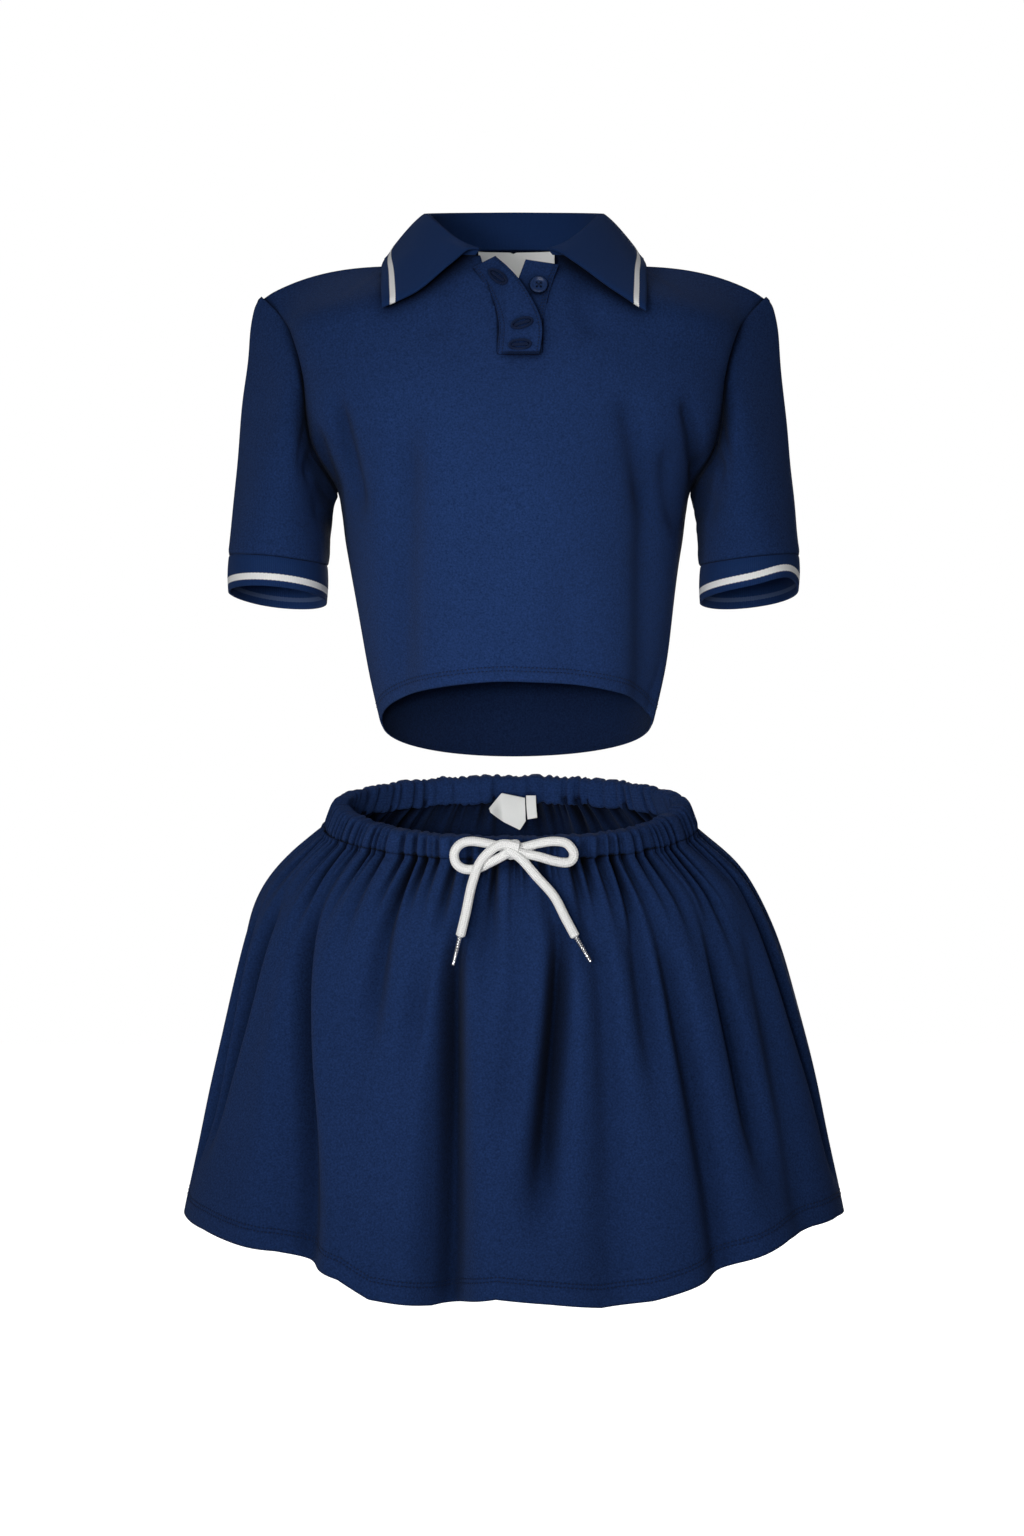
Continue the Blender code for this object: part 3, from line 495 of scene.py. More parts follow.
def prism(outline, y_front, y_back):
    """A block along Y over an outline in XZ, whose points run anticlockwise as seen from the front."""
    n = len(outline)
    verts = [(x, y, z) for y in (y_front, y_back) for x, z in outline]
    faces = [tuple(range(n)), tuple(range(2 * n - 1, n - 1, -1))]
    faces += [(k, k + n, (k + 1) % n + n, (k + 1) % n) for k in range(n)]
    return add_mesh("cutter", verts, faces, None, STITCH)


def dress(obj, slot, *nodes):
    """Hides the nodes of the frame that a piece stands for; the slot is not used."""
    if nodes:
        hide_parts(*nodes)
    return obj


def fasten(obj, body, slot, *nodes):
    return dress(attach(obj, body), slot, *nodes)


# ---- the top ----
def shoulder_row(s, front):
    side, away = np.sign(s), np.abs(s)
    u = np.clip((away - 0.5) / 0.5, 0, 1)
    a = math.pi * np.minimum(away, 0.5)
    neck_x = NECK_X * np.sin(a)
    neck_y = (NECK_FRONT_Y if front else NECK_BACK_Y) * np.cos(a)
    neck_z = NECK_Z + (-1 if front else 1) * NECK_Z_SWING * np.cos(a)
    out = away >= 0.5
    x = np.where(out, mix(NECK_X, SHOULDER_TIP[0], u), neck_x)
    y = np.where(out, 0.0, neck_y)
    drop = SHOULDER_DIP * smooth(u / 0.2) + (NECK_Z - SHOULDER_TIP[1] - SHOULDER_DIP) * u**2.8
    z = np.where(out, NECK_Z - drop, neck_z)
    return merge(side * x, y, z)


def panel(s, t, front):
    """The outer face of the front or back: a grid over s, edge to edge, and t, hem to shoulder."""
    a = s * math.pi / 2
    lines = []
    for z_edge, half, *faces in PANEL_ROWS:
        z_mid, depth, edge = faces[0 if front else 1]
        y = edge + (depth - edge) * np.cos(a)
        z = z_edge + (z_mid - z_edge) * np.maximum(np.cos(a), 0) ** 0.8
        lines.append(merge(half * np.sin(a), -y if front else y, z))
    lines.append(shoulder_row(s, front))
    return catmull(np.array(lines), t)


def valley(x, z, start, end, depth, width):
    """A soft groove between two places, (x, z) each, that fades out at both."""
    (x0, z0), (x1, z1) = start, end
    dx, dz = x1 - x0, z1 - z0
    size = math.hypot(dx, dz)
    along = ((x - x0) * dx + (z - z0) * dz) / size**2
    across = ((x - x0) * dz - (z - z0) * dx) / size
    fade = smooth(along / 0.3 + 0.25) * smooth((1 - along) / 0.3 + 0.25)
    return -depth * fade * bell(across, 0, width)


# Grooves pressed into the panels, in millimetres: x and z of both ends, the depth and the half width.
FRONT_VALLEYS = (
    ((-84, 690), (-92, 440), 9.0, 14),
    ((86, 695), (108, 600), 7.0, 11),
    ((110, 640), (100, 430), 9.5, 13),
    ((-140, 695), (-120, 600), 7.5, 6.5),
    ((-156, 672), (-140, 618), 3.4, 4),
    ((134, 695), (150, 622), 7.5, 6.5),
    ((118, 655), (130, 585), 4.0, 6),
    ((50, 790), (62, 735), 3.6, 10),
    ((-42, 785), (-60, 735), 2.2, 10),
    ((-20, 600), (-12, 450), 3.0, 22),
    ((40, 560), (46, 450), 2.4, 16),
)
BACK_VALLEYS = (
    ((-60, 700), (-70, 420), 3.0, 18),
    ((55, 690), (68, 420), 2.8, 16),
    ((-130, 690), (-100, 600), 2.5, 8),
    ((132, 690), (104, 600), 2.5, 8),
    ((0, 600), (6, 430), 1.4, 20),
)
# What the placket and the open neck take out of the front panel.
FRONT_OPENING = (
    (-0.0125, 0.724), (0.0208, 0.724), (0.022, 0.752), (0.0275, 0.778),
    (0.035, 0.8), (0.035, 0.836), (-0.035, 0.836), (-0.0125, 0.752),
)


def make_body(word):
    front = word == "front"
    outward = 1 if front else -1
    s = np.linspace(-1, 1, 181)
    t = np.linspace(0, 1, 161)
    points = panel(s, t, front)
    x, z = points[..., 0], points[..., 2]
    grooves = (valley(x / MM, z / MM, *v) for v in (FRONT_VALLEYS if front else BACK_VALLEYS))
    depth = sum(grooves) * MM + ripple(x, z, 3 if front else 4, 0.0005, 0.09)
    inner = smooth((1 - np.abs(s)) / 0.1)[None, :] * smooth((1 - t) / 0.08)[:, None]
    armhole_seam = smooth((np.abs(s) - 0.955) / 0.045)[None, :] * smooth((t - 0.46) / 0.06)[:, None]
    normals = grid_normals(points) * outward
    points = points + normals * (depth * inner - 0.0014 * armhole_seam)[..., None]
    points[..., 0] += 0.0045 * smooth(points[..., 0] / 0.1) * smooth((0.58 - points[..., 2]) / 0.1)
    hem_roll = 0.0008 * bell(t, 0.0, 0.01)
    points = points - normals * hem_roll[:, None, None]
    limit = 0.0005 + 0.0004 * smooth((t - 0.85) / 0.1)[:, None]
    points[..., 1] = outward * np.minimum(outward * points[..., 1], -limit)
    body = sheet(f"{word}_body_cloth", points, arc_uv(points, 80), KNIT, flip=not front, inside=KNIT_INSIDE_SHADE)
    if front:
        subtract(body, prism(FRONT_OPENING, -0.16, -0.02))
    fasten(body, "top", "navy_knit", f"{word}_panel")
    normals = grid_normals(points) * outward
    for k, distance in enumerate(HEM_STITCHES[word], 1):
        line, facing = line_on(points, normals, distance)
        fasten(stitches(f"{word}_hem_stitch_{k}", line[3:-3], facing[3:-3]), "top", "navy_thread")


def armhole(side, turn):
    """The edge of the armhole, up the front from the underarm to the shoulder and down the back."""
    t = np.minimum(UNDERARM_T + np.where(turn <= 0.5, turn, 1 - turn), 1.0)
    front, back = (panel(np.array([float(side)]), t, f)[:, 0] for f in (True, False))
    return np.where((turn <= 0.5)[:, None], front, back)


def cuff_ring(side, turn, drop, shrink):
    a = TURN * turn
    x = CUFF_CENTRE[0] - (CUFF_AXES[0] - shrink) * np.cos(a)
    y = -(CUFF_AXES[1] - shrink) * np.sin(a)
    z = CUFF_CENTRE[2] - 0.12 * y * drop / CUFF_HEIGHT - drop + 0.004 * (x - CUFF_CENTRE[0]) / CUFF_AXES[0]
    return merge(side * x, y, z)


def bend_sleeve(obj, slot, node):
    """Bakes a sleeve piece's placement into its mesh, and hides the node of the frame that it stands for."""
    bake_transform(obj)
    dress(obj, slot, node)


# Where a fold starts, as shares round the sleeve and down it, where it ends, its depth and its half width.
SLEEVE_FOLDS = (
    (0.1, 0.0, 0.16, 0.42, 0.003, 0.022),
    (0.17, 0.04, 0.2, 0.5, 0.0016, 0.02),
    (0.88, 0.0, 0.82, 0.45, 0.003, 0.03),
    (0.05, 0.1, 0.1, 0.7, 0.0022, 0.03),
)
SLEEVE_COLUMNS = 168


def make_sleeve(word, side):
    turn = np.arange(SLEEVE_COLUMNS) / SLEEVE_COLUMNS
    v = np.concatenate([(-0.03, -0.015), np.linspace(0, 1, 94)])
    points = mix(armhole(side, turn)[None], cuff_ring(side, turn, 0.0, 0.0)[None], v[:, None, None])
    wave = np.sin(math.pi * v)[:, None]
    points[..., 0] += side * 0.004 * (1 - v[:, None]) * wave
    points[..., 1] += -0.007 * np.sin(TURN * turn)[None] * wave
    cap = bell(turn, 0.5, 0.2)[None, :] * bell(v, 0.1, 0.12)[:, None]
    points[..., 0] += side * 0.003 * cap
    normals = grid_normals(points, wrap=True) * side * -1
    depth = ripple(turn * 0.3, v[:, None] * 0.2, 8 + side, 0.0006, 0.07)
    for t0, v0, t1, v1, amount, width in SLEEVE_FOLDS:
        share = (v - v0) / (v1 - v0)
        fade = (smooth(share / 0.3 + 0.4) * smooth((1 - share) / 0.4))[:, None]
        depth = depth - amount * fade * bell(turn[None], mix(t0, t1, share)[:, None], width)
    depth = depth - 0.0012 * bell(v, 0.0, 0.022)[:, None] - 0.001 * bell(v, 1.0, 0.01)[:, None]
    points = points + normals * depth[..., None]
    hub = np.array((side * 0.165, 0, 0.7))
    points = points + (hub - points) * (0.05 * smooth(-v / 0.03))[:, None, None]
    uv = arc_uv(points, 48, wrap=True)
    sleeve = sheet(f"{word}_sleeve_cloth", points, uv, KNIT, wrap=True, flip=side < 0)
    bend_sleeve(sleeve, "navy_knit", f"{word}_sleeve")


def make_cuff(word, side):
    turn = np.arange(SLEEVE_COLUMNS) / SLEEVE_COLUMNS
    drop = np.linspace(CUFF_HEIGHT, -0.0004, 30)[:, None]
    points = cuff_ring(side, np.broadcast_to(turn, (30, SLEEVE_COLUMNS)), drop, 0.0012)
    if side > 0:
        arch = 0.0066 * bell(turn, 0.37, 0.09) * smooth(drop / CUFF_HEIGHT)
        points[..., 2] += arch
        points[..., 1] -= 0.6 * arch
    normals = grid_normals(points, wrap=True) * side
    bulge = 0.0008 * np.sin(math.pi * drop / CUFF_HEIGHT) - 0.001 * bell(drop, 0.0, 0.0016)
    bulge = bulge + 0.0006 * np.sin(TURN * turn * 3 + side) * drop / CUFF_HEIGHT
    points = points + normals * bulge[..., None]
    uv = arc_uv(points, 15, wrap=True)
    # The grid faces inwards here, so the material named first is the one inside.
    cuff = sheet(f"{word}_cuff_rib", points, uv, CUFF_SHADED_INSIDE, RIB, wrap=True, flip=side > 0, inside=CUFF)
    bend_sleeve(cuff, "navy_rib", f"{word}_cuff")


# ---- collar ----
def neck_point(degrees):
    a = np.radians(degrees)
    depth = np.where(np.cos(a) > 0, NECK_FRONT_Y, -NECK_BACK_Y)
    return merge(NECK_X * np.sin(a), depth * np.cos(a), NECK_Z - NECK_Z_SWING * np.cos(a))


def fold_point(degrees):
    """The line on which the collar turns over, above the seam of the neck."""
    a = np.radians(degrees)
    depth = np.where(np.cos(a) > 0, -0.083, -0.073)
    away = np.minimum(degrees, 360 - degrees)
    rise = 0.004 + 0.028 * smooth((away - 15) / 65)
    return merge(0.07 * np.sin(a), depth * np.cos(a), neck_point(degrees)[..., 2] + rise)


def make_stand():
    degrees = np.linspace(COLLAR_START, 360 - COLLAR_START, 220)
    low = neck_point(degrees) + (0, 0, 0.0003)
    high = fold_point(degrees) - (0, 0, 0.0006)
    points = mix(low[None], high[None], np.linspace(0, 1, 18)[:, None, None])
    stand = sheet("collar_stand_rib", points, arc_uv(points, 9), STAND, RIB)
    fasten(stand, "top", "navy_rib", "collar_stand")


def leaf_edge(u):
    """The free edge of the fall, from its point in front (u = 0) to the shoulder (u = 1)."""
    x = mix(0.1005, 0.1035, u) + 0.003 * np.sin(math.pi * u)
    y = mix(-0.087, 0.0, u**0.9)
    z = mix(0.766, 0.811, u**0.55)
    return merge(x, y, z)


def make_fall(word, side):
    """Half of the collar's fall, from its point to the centre back."""
    degrees = np.concatenate([np.linspace(COLLAR_START, 89, 70), np.linspace(90, 180, 80)])
    u = np.clip((degrees - COLLAR_START) / (89 - COLLAR_START), 0, 1)
    a = np.radians(degrees)
    low = mix(0.811, 0.803, np.maximum(-np.cos(a), 0))
    back = merge(0.104 * np.sin(a), -0.106 * np.cos(a), low)
    end = np.where((degrees < 89.5)[:, None], leaf_edge(u), back)
    start = fold_point(degrees)
    away = unit(start * (1, 1, 0))
    start = start + away * (RIB + 0.0003)
    roll = mix(start, end, 0.25) + away * 0.002 + (0, 0, 0.003)
    down = np.linspace(1, 0, 44)[:, None]
    v = down[..., None]
    points = mix(mix(start, roll, v), mix(roll, end, v), v)
    # The front of the leaf is uneven: more so at the right, while the left one hangs lower.
    near_point = (1 - smooth(u / 0.4)) * (1.0 if side < 0 else 0.35)
    sag = (0.003 if side < 0 else 0.007) * (1 - smooth(u / 0.5))
    points[..., 2] += near_point * (0.003 * bell(down, 0.2, 0.13) - 0.0068 * bell(down, 0.74, 0.24))
    points[..., 2] -= sag * down**2
    points[..., 0] += 0.002 * (1 - smooth(u / 0.4)) * down
    points[..., 1] -= 0.005 * (1 - smooth(u / 0.7)) * down**2
    points = points - grid_normals(points) * 0.0006 * bell(v, 0.93, 0.05)
    points[..., 0] *= side
    fall = sheet(f"{word}_collar_fall", points, arc_uv(points, 0), COLLAR, RIB, flip=side < 0, inside=STAND)
    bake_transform(fall)
    dress(fall, "navy_rib", f"{word}_collar_leaf", *(["collar_back_fall"] if side > 0 else []))


# ---- placket: places in x and z on the chest ----
PLACKET_BOTTOM = 0.7235
BUTTONS = {"top": (0.0192, 0.7785), "middle": (0.0062, 0.748), "bottom": (0.0046, 0.7315)}
BUTTONHOLES = ((-0.0125, 0.786, -0.7), (0.0062, 0.748, 0.3), (0.0045, 0.7308, 0.08))  # x, z and turn
OVER_LEFT = ((-0.0138, PLACKET_BOTTOM), (-0.0122, 0.749), (-0.019, 0.772), (-0.032, 0.794))
OVER_RIGHT = ((0.0198, PLACKET_BOTTOM), (0.021, 0.75), (0.0055, 0.781), (-0.0145, 0.803))
UNDER_LEFT = ((-0.008, PLACKET_BOTTOM), (-0.006, 0.752), (0.002, 0.78), (0.009, 0.8))
UNDER_RIGHT = ((0.0214, PLACKET_BOTTOM), (0.023, 0.752), (0.028, 0.776), (0.035, 0.796))
CHEST_NORMAL = unit(np.array((0.0, -1.0, 0.318)))


def chest_y(x, z):
    return -0.111 + 0.318 * (z - 0.695) + x * x


def over_lift(x, z):
    """The band with the buttonholes rises over the buttons beneath it."""
    rise = mix(0.25, 1.0, smooth((z - PLACKET_BOTTOM) / 0.0025))
    return -0.0007 + 0.0062 * smooth((x + 0.015) / 0.013) * rise


def band_points(left, right, lift):
    t = np.linspace(0, 1, 90)
    flat = mix(catmull(left, t)[:, None], catmull(right, t)[:, None], np.linspace(0, 1, 34)[None, :, None])
    x, z = flat[..., 0], flat[..., 1]
    return merge(x, chest_y(x, z) - lift(x, z), z)


def band_stitches(name, points, share):
    """Stitches down a band at a share of its width, which stop short of both ends."""
    rows, cols = points.shape[:2]
    c = share * (cols - 1)
    column = mix(points[:, int(c)], points[:, int(c) + 1], c - int(c))
    r = mix(0.02, 0.98, np.linspace(0, 1, 140)) * (rows - 1)
    low = r.astype(int)
    line = mix(column[low], column[low + 1], (r - low)[:, None])
    return stitches(name, line, np.broadcast_to(CHEST_NORMAL, line.shape), pitch=0.0026, length=0.0019)


def to_lapel(obj):
    """Bakes the piece's placement into its mesh."""
    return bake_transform(obj)


def make_buttonhole(k, x, z, turn):
    """A worked buttonhole: an oval of close thread round a zigzag bar."""
    def on_band(px, pz, proud):
        gx = x + px * math.cos(turn) - pz * math.sin(turn)
        gz = z + px * math.sin(turn) + pz * math.cos(turn)
        return merge(gx, chest_y(gx, gz) - over_lift(gx, gz) - proud, gz)

    a = around(240)
    teeth = 1 + 0.05 * np.sign(np.sin(60 * a))
    oval = on_band(0.0082 * np.cos(a) * teeth, 0.0036 * np.sin(a) * teeth, 0.0002)
    ring = tube(f"buttonhole_{k}_edge", oval, 0.00085, STITCH, sides=8, closed=True)
    zigzag = on_band(0.006 * np.linspace(-1, 1, 41), 0.0009 * np.where(np.arange(41) % 2, 1, -1), 0.0003)
    bar = tube(f"buttonhole_{k}_bar", resample(zigzag, 200), 0.00045, STITCH, sides=6)
    for piece in (ring, bar):
        dress(to_lapel(piece) if k == 1 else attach(piece, "top"), "navy_thread")


def make_placket():
    points = band_points(UNDER_LEFT, UNDER_RIGHT, lambda x, z: 0.0 * x)
    under = sheet("button_band_cloth", points, arc_uv(points, 10), KNIT)
    fasten(under, "top", "navy_knit", "button_band")
    for k, share in enumerate((0.94, 0.86), 1):
        fasten(band_stitches(f"button_band_stitch_{k}", points, share), "top", "navy_thread")
    points = band_points(OVER_LEFT, OVER_RIGHT, over_lift)
    over = sheet("buttonhole_band_cloth", points, arc_uv(points, 10), KNIT)
    dress(to_lapel(over), "navy_knit", "buttonhole_band", "placket_lapel")
    for word, share in (("seam_1", 0.04), ("seam_2", 0.13), ("free", 0.93)):
        dress(to_lapel(band_stitches(f"placket_stitch_{word}", points, share)), "navy_thread")
    for k, (x, z, turn) in enumerate(BUTTONHOLES, 1):
        make_buttonhole(k, x, z, turn)


# A button's half section, from the middle of its back round the rim to the middle of its face, as shares of
# its radius and of its height.
BUTTON_PROFILE = (
    (0.0, 0.0), (0.72, 0.0), (0.9, 0.12), (0.98, 0.35), (1.0, 0.6), (0.97, 0.85),
    (0.9, 1.0), (0.82, 0.98), (0.74, 0.84), (0.66, 0.66), (0.5, 0.58), (0.0, 0.56),
)
BUTTON_RADIUS, BUTTON_HEIGHT = 0.0068, 0.0022
BUTTON_STAND = 0.0013  # how far its back stands off the chest
HOLE_RADIUS, HOLE_PLACE = 0.001, 0.0022


def make_button(k, word):
    """A four-hole resin button with a raised, rounded rim."""
    x, z = BUTTONS[word]
    normal = CHEST_NORMAL
    right = np.array((1.0, 0.0, 0.0))
    up = np.cross(normal, right)
    centre = np.array((x, chest_y(x, z), z)) + normal * BUTTON_STAND
    a = around(48)[:, None]
    ring = np.cos(a) * right + np.sin(a) * up
    points = np.stack([centre + ring * (r * BUTTON_RADIUS) + normal * (h * BUTTON_HEIGHT)
                       for r, h in BUTTON_PROFILE])
    disc = sheet(f"{word}_button_disc", points, arc_uv(points, 4, wrap=True), BUTTON, thickness=0, wrap=True)
    made = bmesh.new()
    made.from_mesh(disc.data)
    bmesh.ops.remove_doubles(made, verts=made.verts, dist=1e-6)
    bmesh.ops.recalc_face_normals(made, faces=made.faces)
    made.to_mesh(disc.data)
    made.free()
    for q in range(4):
        b = math.pi * (q / 2 + 0.25)
        spot = centre + (math.cos(b) * right + math.sin(b) * up) * HOLE_PLACE
        ends = [spot - normal * 0.002, spot + normal * 0.004]
        subtract(disc, tube("hole", ends, HOLE_RADIUS, BUTTON, sides=12))
    disc.data.set_sharp_from_angle(angle=0.7)
    fasten(disc, f"{word}_button", "navy_button", f"button_{k}")


# ---- neck label ----
def make_neck_label():
    x = np.linspace(-0.029, 0.033, 60)[None, :]
    length = 0.036
    drop = np.linspace(length, 0.0, 36)[:, None]
    wave = 0.0006 * np.sin(x * 160) * drop / length
    y = NECK_BACK_Y * np.sqrt(1 - (x / NECK_X) ** 2) - 0.0037 + 0.1 * drop - wave
    z = 0.825 - drop - 0.0012 * bell(x, -0.0005, 0.0015) * bell(drop, 0.0, 0.003)
    points = merge(x, y, z)
    label = sheet("neck_label_woven", points, arc_uv(points, 0), LABEL, LABEL_CLOTH)
    fasten(label, "neck_label", "white_label", "neck_label")


# ---- skirt ----
rng = np.random.default_rng(11)
PUCKERS, CREASES = 68, 150
PUCKER_ANGLE = np.sort((np.arange(PUCKERS) + rng.uniform(-0.45, 0.45, PUCKERS)) * TURN / PUCKERS)
PUCKER_DEPTH = rng.uniform(0.3, 1.45, PUCKERS)
PUCKER_LENGTH = rng.uniform(0.07, 0.24, PUCKERS) + 0.18 * (rng.random(PUCKERS) > 0.7)
PUCKER_LEAN = rng.uniform(-0.1, 0.1, PUCKERS)
CREASE_ANGLE = rng.uniform(-math.pi, math.pi, CREASES)
CREASE_DEPTH = rng.uniform(0.15, 1.0, CREASES)


def turn_gap(a, b):
    """The signed angle from b to a."""
    return (a - b + math.pi) % TURN - math.pi


def puckers(a, t, width):
    """Creases of the gathered waist, 1 in one of ordinary depth."""
    total = np.zeros(np.broadcast(a, t).shape)
    for centre, depth, length, lean in zip(PUCKER_ANGLE, PUCKER_DEPTH, PUCKER_LENGTH, PUCKER_LEAN):
        total += depth * np.exp(-t / length) * bell(turn_gap(a, centre + lean * t), 0, width + 0.16 * t)
    return total


def small_creases(a):
    """Short extra creases at the waist, between the gathers."""
    total = np.zeros(a.shape)
    for centre, depth in zip(CREASE_ANGLE, CREASE_DEPTH):
        total += depth * bell(turn_gap(a, centre), 0, 0.0095)
    return total


# The large folds: the angle near the waist and at the hem in degrees, where the fold starts and ends as
# shares of the length, its depth, and its half width in degrees near the waist and at the hem.
FRONT_FOLDS = (
    (-161, -166, 0.05, 0.88, 0.022, 2.3, 3.3),
    (-146, -132, 0.02, 1.25, 0.028, 2.7, 5.6),
    (-121, -119, 0.02, 0.55, 0.01, 2.2, 4.0),
    (-111, -111, 0.02, 0.6, 0.009, 2.0, 4.0),
    (-104, -102, 0.03, 1.25, 0.034, 2.2, 4.4),
    (-88, -93, 0.1, 0.8, 0.007, 2.4, 5.0),
    (-79, -86, 0.05, 0.9, 0.031, 1.9, 3.9),
    (-70, -72, 0.02, 1.2, 0.012, 2.2, 5.5),
    (-61, -60, 0.02, 0.65, 0.011, 2.2, 4.5),
    (-54, -50, 0.04, 1.25, 0.019, 2.3, 4.8),
    (-40, -37, 0.04, 0.95, 0.016, 2.3, 4.8),
    (-24, -28, 0.1, 1.2, 0.01, 3.2, 6.0),
    (-14, -8, 0.14, 0.95, 0.029, 2.4, 3.2),
    (-173, -174, 0.12, 0.98, 0.024, 2.6, 3.8),
)
BACK_FOLDS = (
    (14, 15, 0.05, 1.2, 0.01, 3.5, 7.0),
    (38, 36, 0.03, 1.2, 0.013, 3.0, 7.0),
    (55, 58, 0.03, 0.7, 0.007, 2.5, 5.0),
    (70, 66, 0.04, 1.2, 0.012, 3.0, 6.5),
    (88, 90, 0.03, 1.2, 0.013, 3.2, 7.0),
    (106, 102, 0.02, 0.7, 0.007, 2.5, 5.0),
    (118, 121, 0.03, 1.2, 0.012, 3.0, 6.5),
    (142, 140, 0.03, 1.2, 0.012, 3.0, 7.0),
    (163, 164, 0.06, 1.2, 0.009, 3.5, 7.0),
)
SIDE_SEAM_FADE = 0.05  # the folds die out here, as the sine of the angle, so that front and back meet


def folds(a, t, listed):
    total = np.zeros(np.broadcast(a, t).shape)
    for top, hem, start, end, depth, near, far in listed:
        centre = np.radians(mix(top, hem, smooth(t)))
        width = np.radians(mix(near, far, t))
        grow = smooth((t - start) / 0.28 + 0.15) * smooth((end - t) / 0.3) * mix(0.35, 1.0, smooth(t / 0.5))
        total -= depth * grow * bell(turn_gap(a, centre), 0, width)
    return total * smooth(np.abs(np.sin(a)) / SIDE_SEAM_FADE)


# How far the hem stands above a plain slanted ring, by angle in degrees.
HEM_TABLE = (
    (-180, 0.0), (-170, 0.006), (-157, 0.0115), (-137, 0.0145), (-121, 0.0063), (-115, -0.005),
    (-105, -0.0075), (-93, 0.002), (-84, -0.002), (-75, -0.0075), (-66, -0.006), (-59, -0.001),
    (-47, 0.0085), (-35, 0.0165), (-25, 0.016), (-15, 0.0125), (-7, 0.006), (0, 0.0),
    (60, 0.004), (90, -0.002), (120, 0.003), (180, 0.0),
)


def hem_lift(a):
    at, lift = zip(*HEM_TABLE)
    return np.interp(np.degrees(a), at, lift)


def pull_left(x):
    """How far the waist lies in at the wearer's left, where it is narrower."""
    return 0.005 * smooth((x - 0.06) / 0.08)


def skirt_points(a, t, listed):
    down = np.maximum(t, 0)
    flare = 0.45 * (1 - np.exp(-down / 0.15)) + 0.55 * t
    x = mix(WAIST_AXES[0] + 0.006, SKIRT_HEM_AXES[0], flare) * np.cos(a)
    y = mix(WAIST_AXES[1] + 0.006, SKIRT_HEM_AXES[1], flare) * np.sin(a)
    z = mix(SKIRT_TOP_Z, SKIRT_HEM_Z, t) + mix(WAIST_SLANT, SKIRT_SLANT, t) * y
    z = z + hem_lift(a) * smooth((t - 0.25) / 0.75)
    right_hip = 0.009 * bell(turn_gap(a, math.pi), 0, 0.6) * bell(t, 0.16, 0.16)
    out = folds(a, t, listed) + right_hip - 0.0105 * puckers(a, down, 0.014)
    out = out - 0.0042 * small_creases(a) * np.exp(-down / 0.06)
    out = out + ripple(a * 0.2, t * 0.3, 21, 0.0008, 0.11) * smooth(t * 3) + 0.001 * bell(t, 0.0, 0.02)
    x = x + np.cos(a) * out - pull_left(x) * (1 - smooth(t / 0.12))
    y = y + np.sin(a) * out
    return merge(x, y, z)


SKIRT_PANELS = {
    # the angle at which the panel starts, its folds, and where it starts and stops bending as it swings
    "front": (-180, FRONT_FOLDS, ((0, -0.135, 0.249), (0, -0.274, 0.156))),
    "back": (0, BACK_FOLDS, ((0, 0.135, 0.316), (0, 0.2526, 0.2572))),
}


def make_skirt_panel(word):
    start, listed, ends = SKIRT_PANELS[word]
    a = np.radians(np.linspace(start, start + 180, 421))[None, :]
    t = np.concatenate([np.linspace(1.0, 0.2, 84), np.linspace(0.194, -0.012, 34)])[:, None]
    points = skirt_points(a, t, listed)
    cloth = sheet(f"skirt_{word}_cloth", points, arc_uv(points, 0), KNIT, inside=KNIT_INSIDE_SHADE)
    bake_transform(cloth)
    dress(cloth, "navy_knit", f"skirt_{word}_upper", f"skirt_{word}_hem")
    normals = grid_normals(points)
    for k, distance in enumerate(HEM_STITCHES["skirt"], 1):
        line, facing = line_on(points, normals, distance)
        rows = stitches(f"skirt_{word}_hem_stitch_{k}", line[2:-2], facing[2:-2])
        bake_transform(rows)
        dress(rows, "navy_thread")


def waist_point(a, across, up):
    x = (WAIST_AXES[0] + across) * np.cos(a)
    y = (WAIST_AXES[1] + across) * np.sin(a)
    return np.stack(np.broadcast_arrays(x, y, WAIST_Z + WAIST_SLANT * y + up), -1)


def waist_shape(a, across, up):
    """The waist as it lies: its upper edge leans in at the sides and dips in front, its back lies lower."""
    front = smooth(-np.sin(a))
    points = waist_point(a, across, up)
    points[..., 2] -= 0.4 * np.maximum(up, 0) * front + 0.003 * smooth(np.sin(a))
    x = points[..., 0]
    lean = 0.0085 * (0.5 + up / 0.023) * smooth((np.abs(x) - 0.05) / 0.09)
    points[..., 0] = x - np.sign(x) * lean - pull_left(x)
    return points


def make_casing():
    """The waistband's tube of cloth, gathered by the elastic in it."""
    a = around(860)[None, :]
    phi = around(34)[:, None]
    depth = np.sign(np.cos(phi)) * np.abs(np.cos(phi)) ** 0.45
    height = np.sign(np.sin(phi)) * np.abs(np.sin(phi)) ** 0.52
    crease = np.tanh(0.9 * puckers(a, np.zeros_like(a), 0.012) + small_creases(a))
    soft = puckers(a + 0.011 * np.sin(9 * a), np.zeros_like(a), 0.017)
    outer = np.maximum(depth, 0) * (0.0078 - 0.0048 * crease * (1 - 0.25 * np.abs(height)))
    inner = np.minimum(depth, 0) * (0.0074 - 0.0017 * np.minimum(soft, 1.1))
    up = 0.0115 * height * (1 - 0.17 * crease) + 0.0005 * np.sin(23 * a)
    points = waist_shape(a, outer + inner, up)
    points = np.concatenate([points, points[:1]])
    u = np.append(a[0], TURN)[None, :] * 0.22
    v = np.append(phi[:, 0], TURN)[:, None] * 0.0105
    uv = merge(u, v)
    casing = sheet("waistband_cloth", points, uv, KNIT, thickness=0, wrap=True)
    fasten(casing, "skirt", "navy_knit", "waistband_casing")


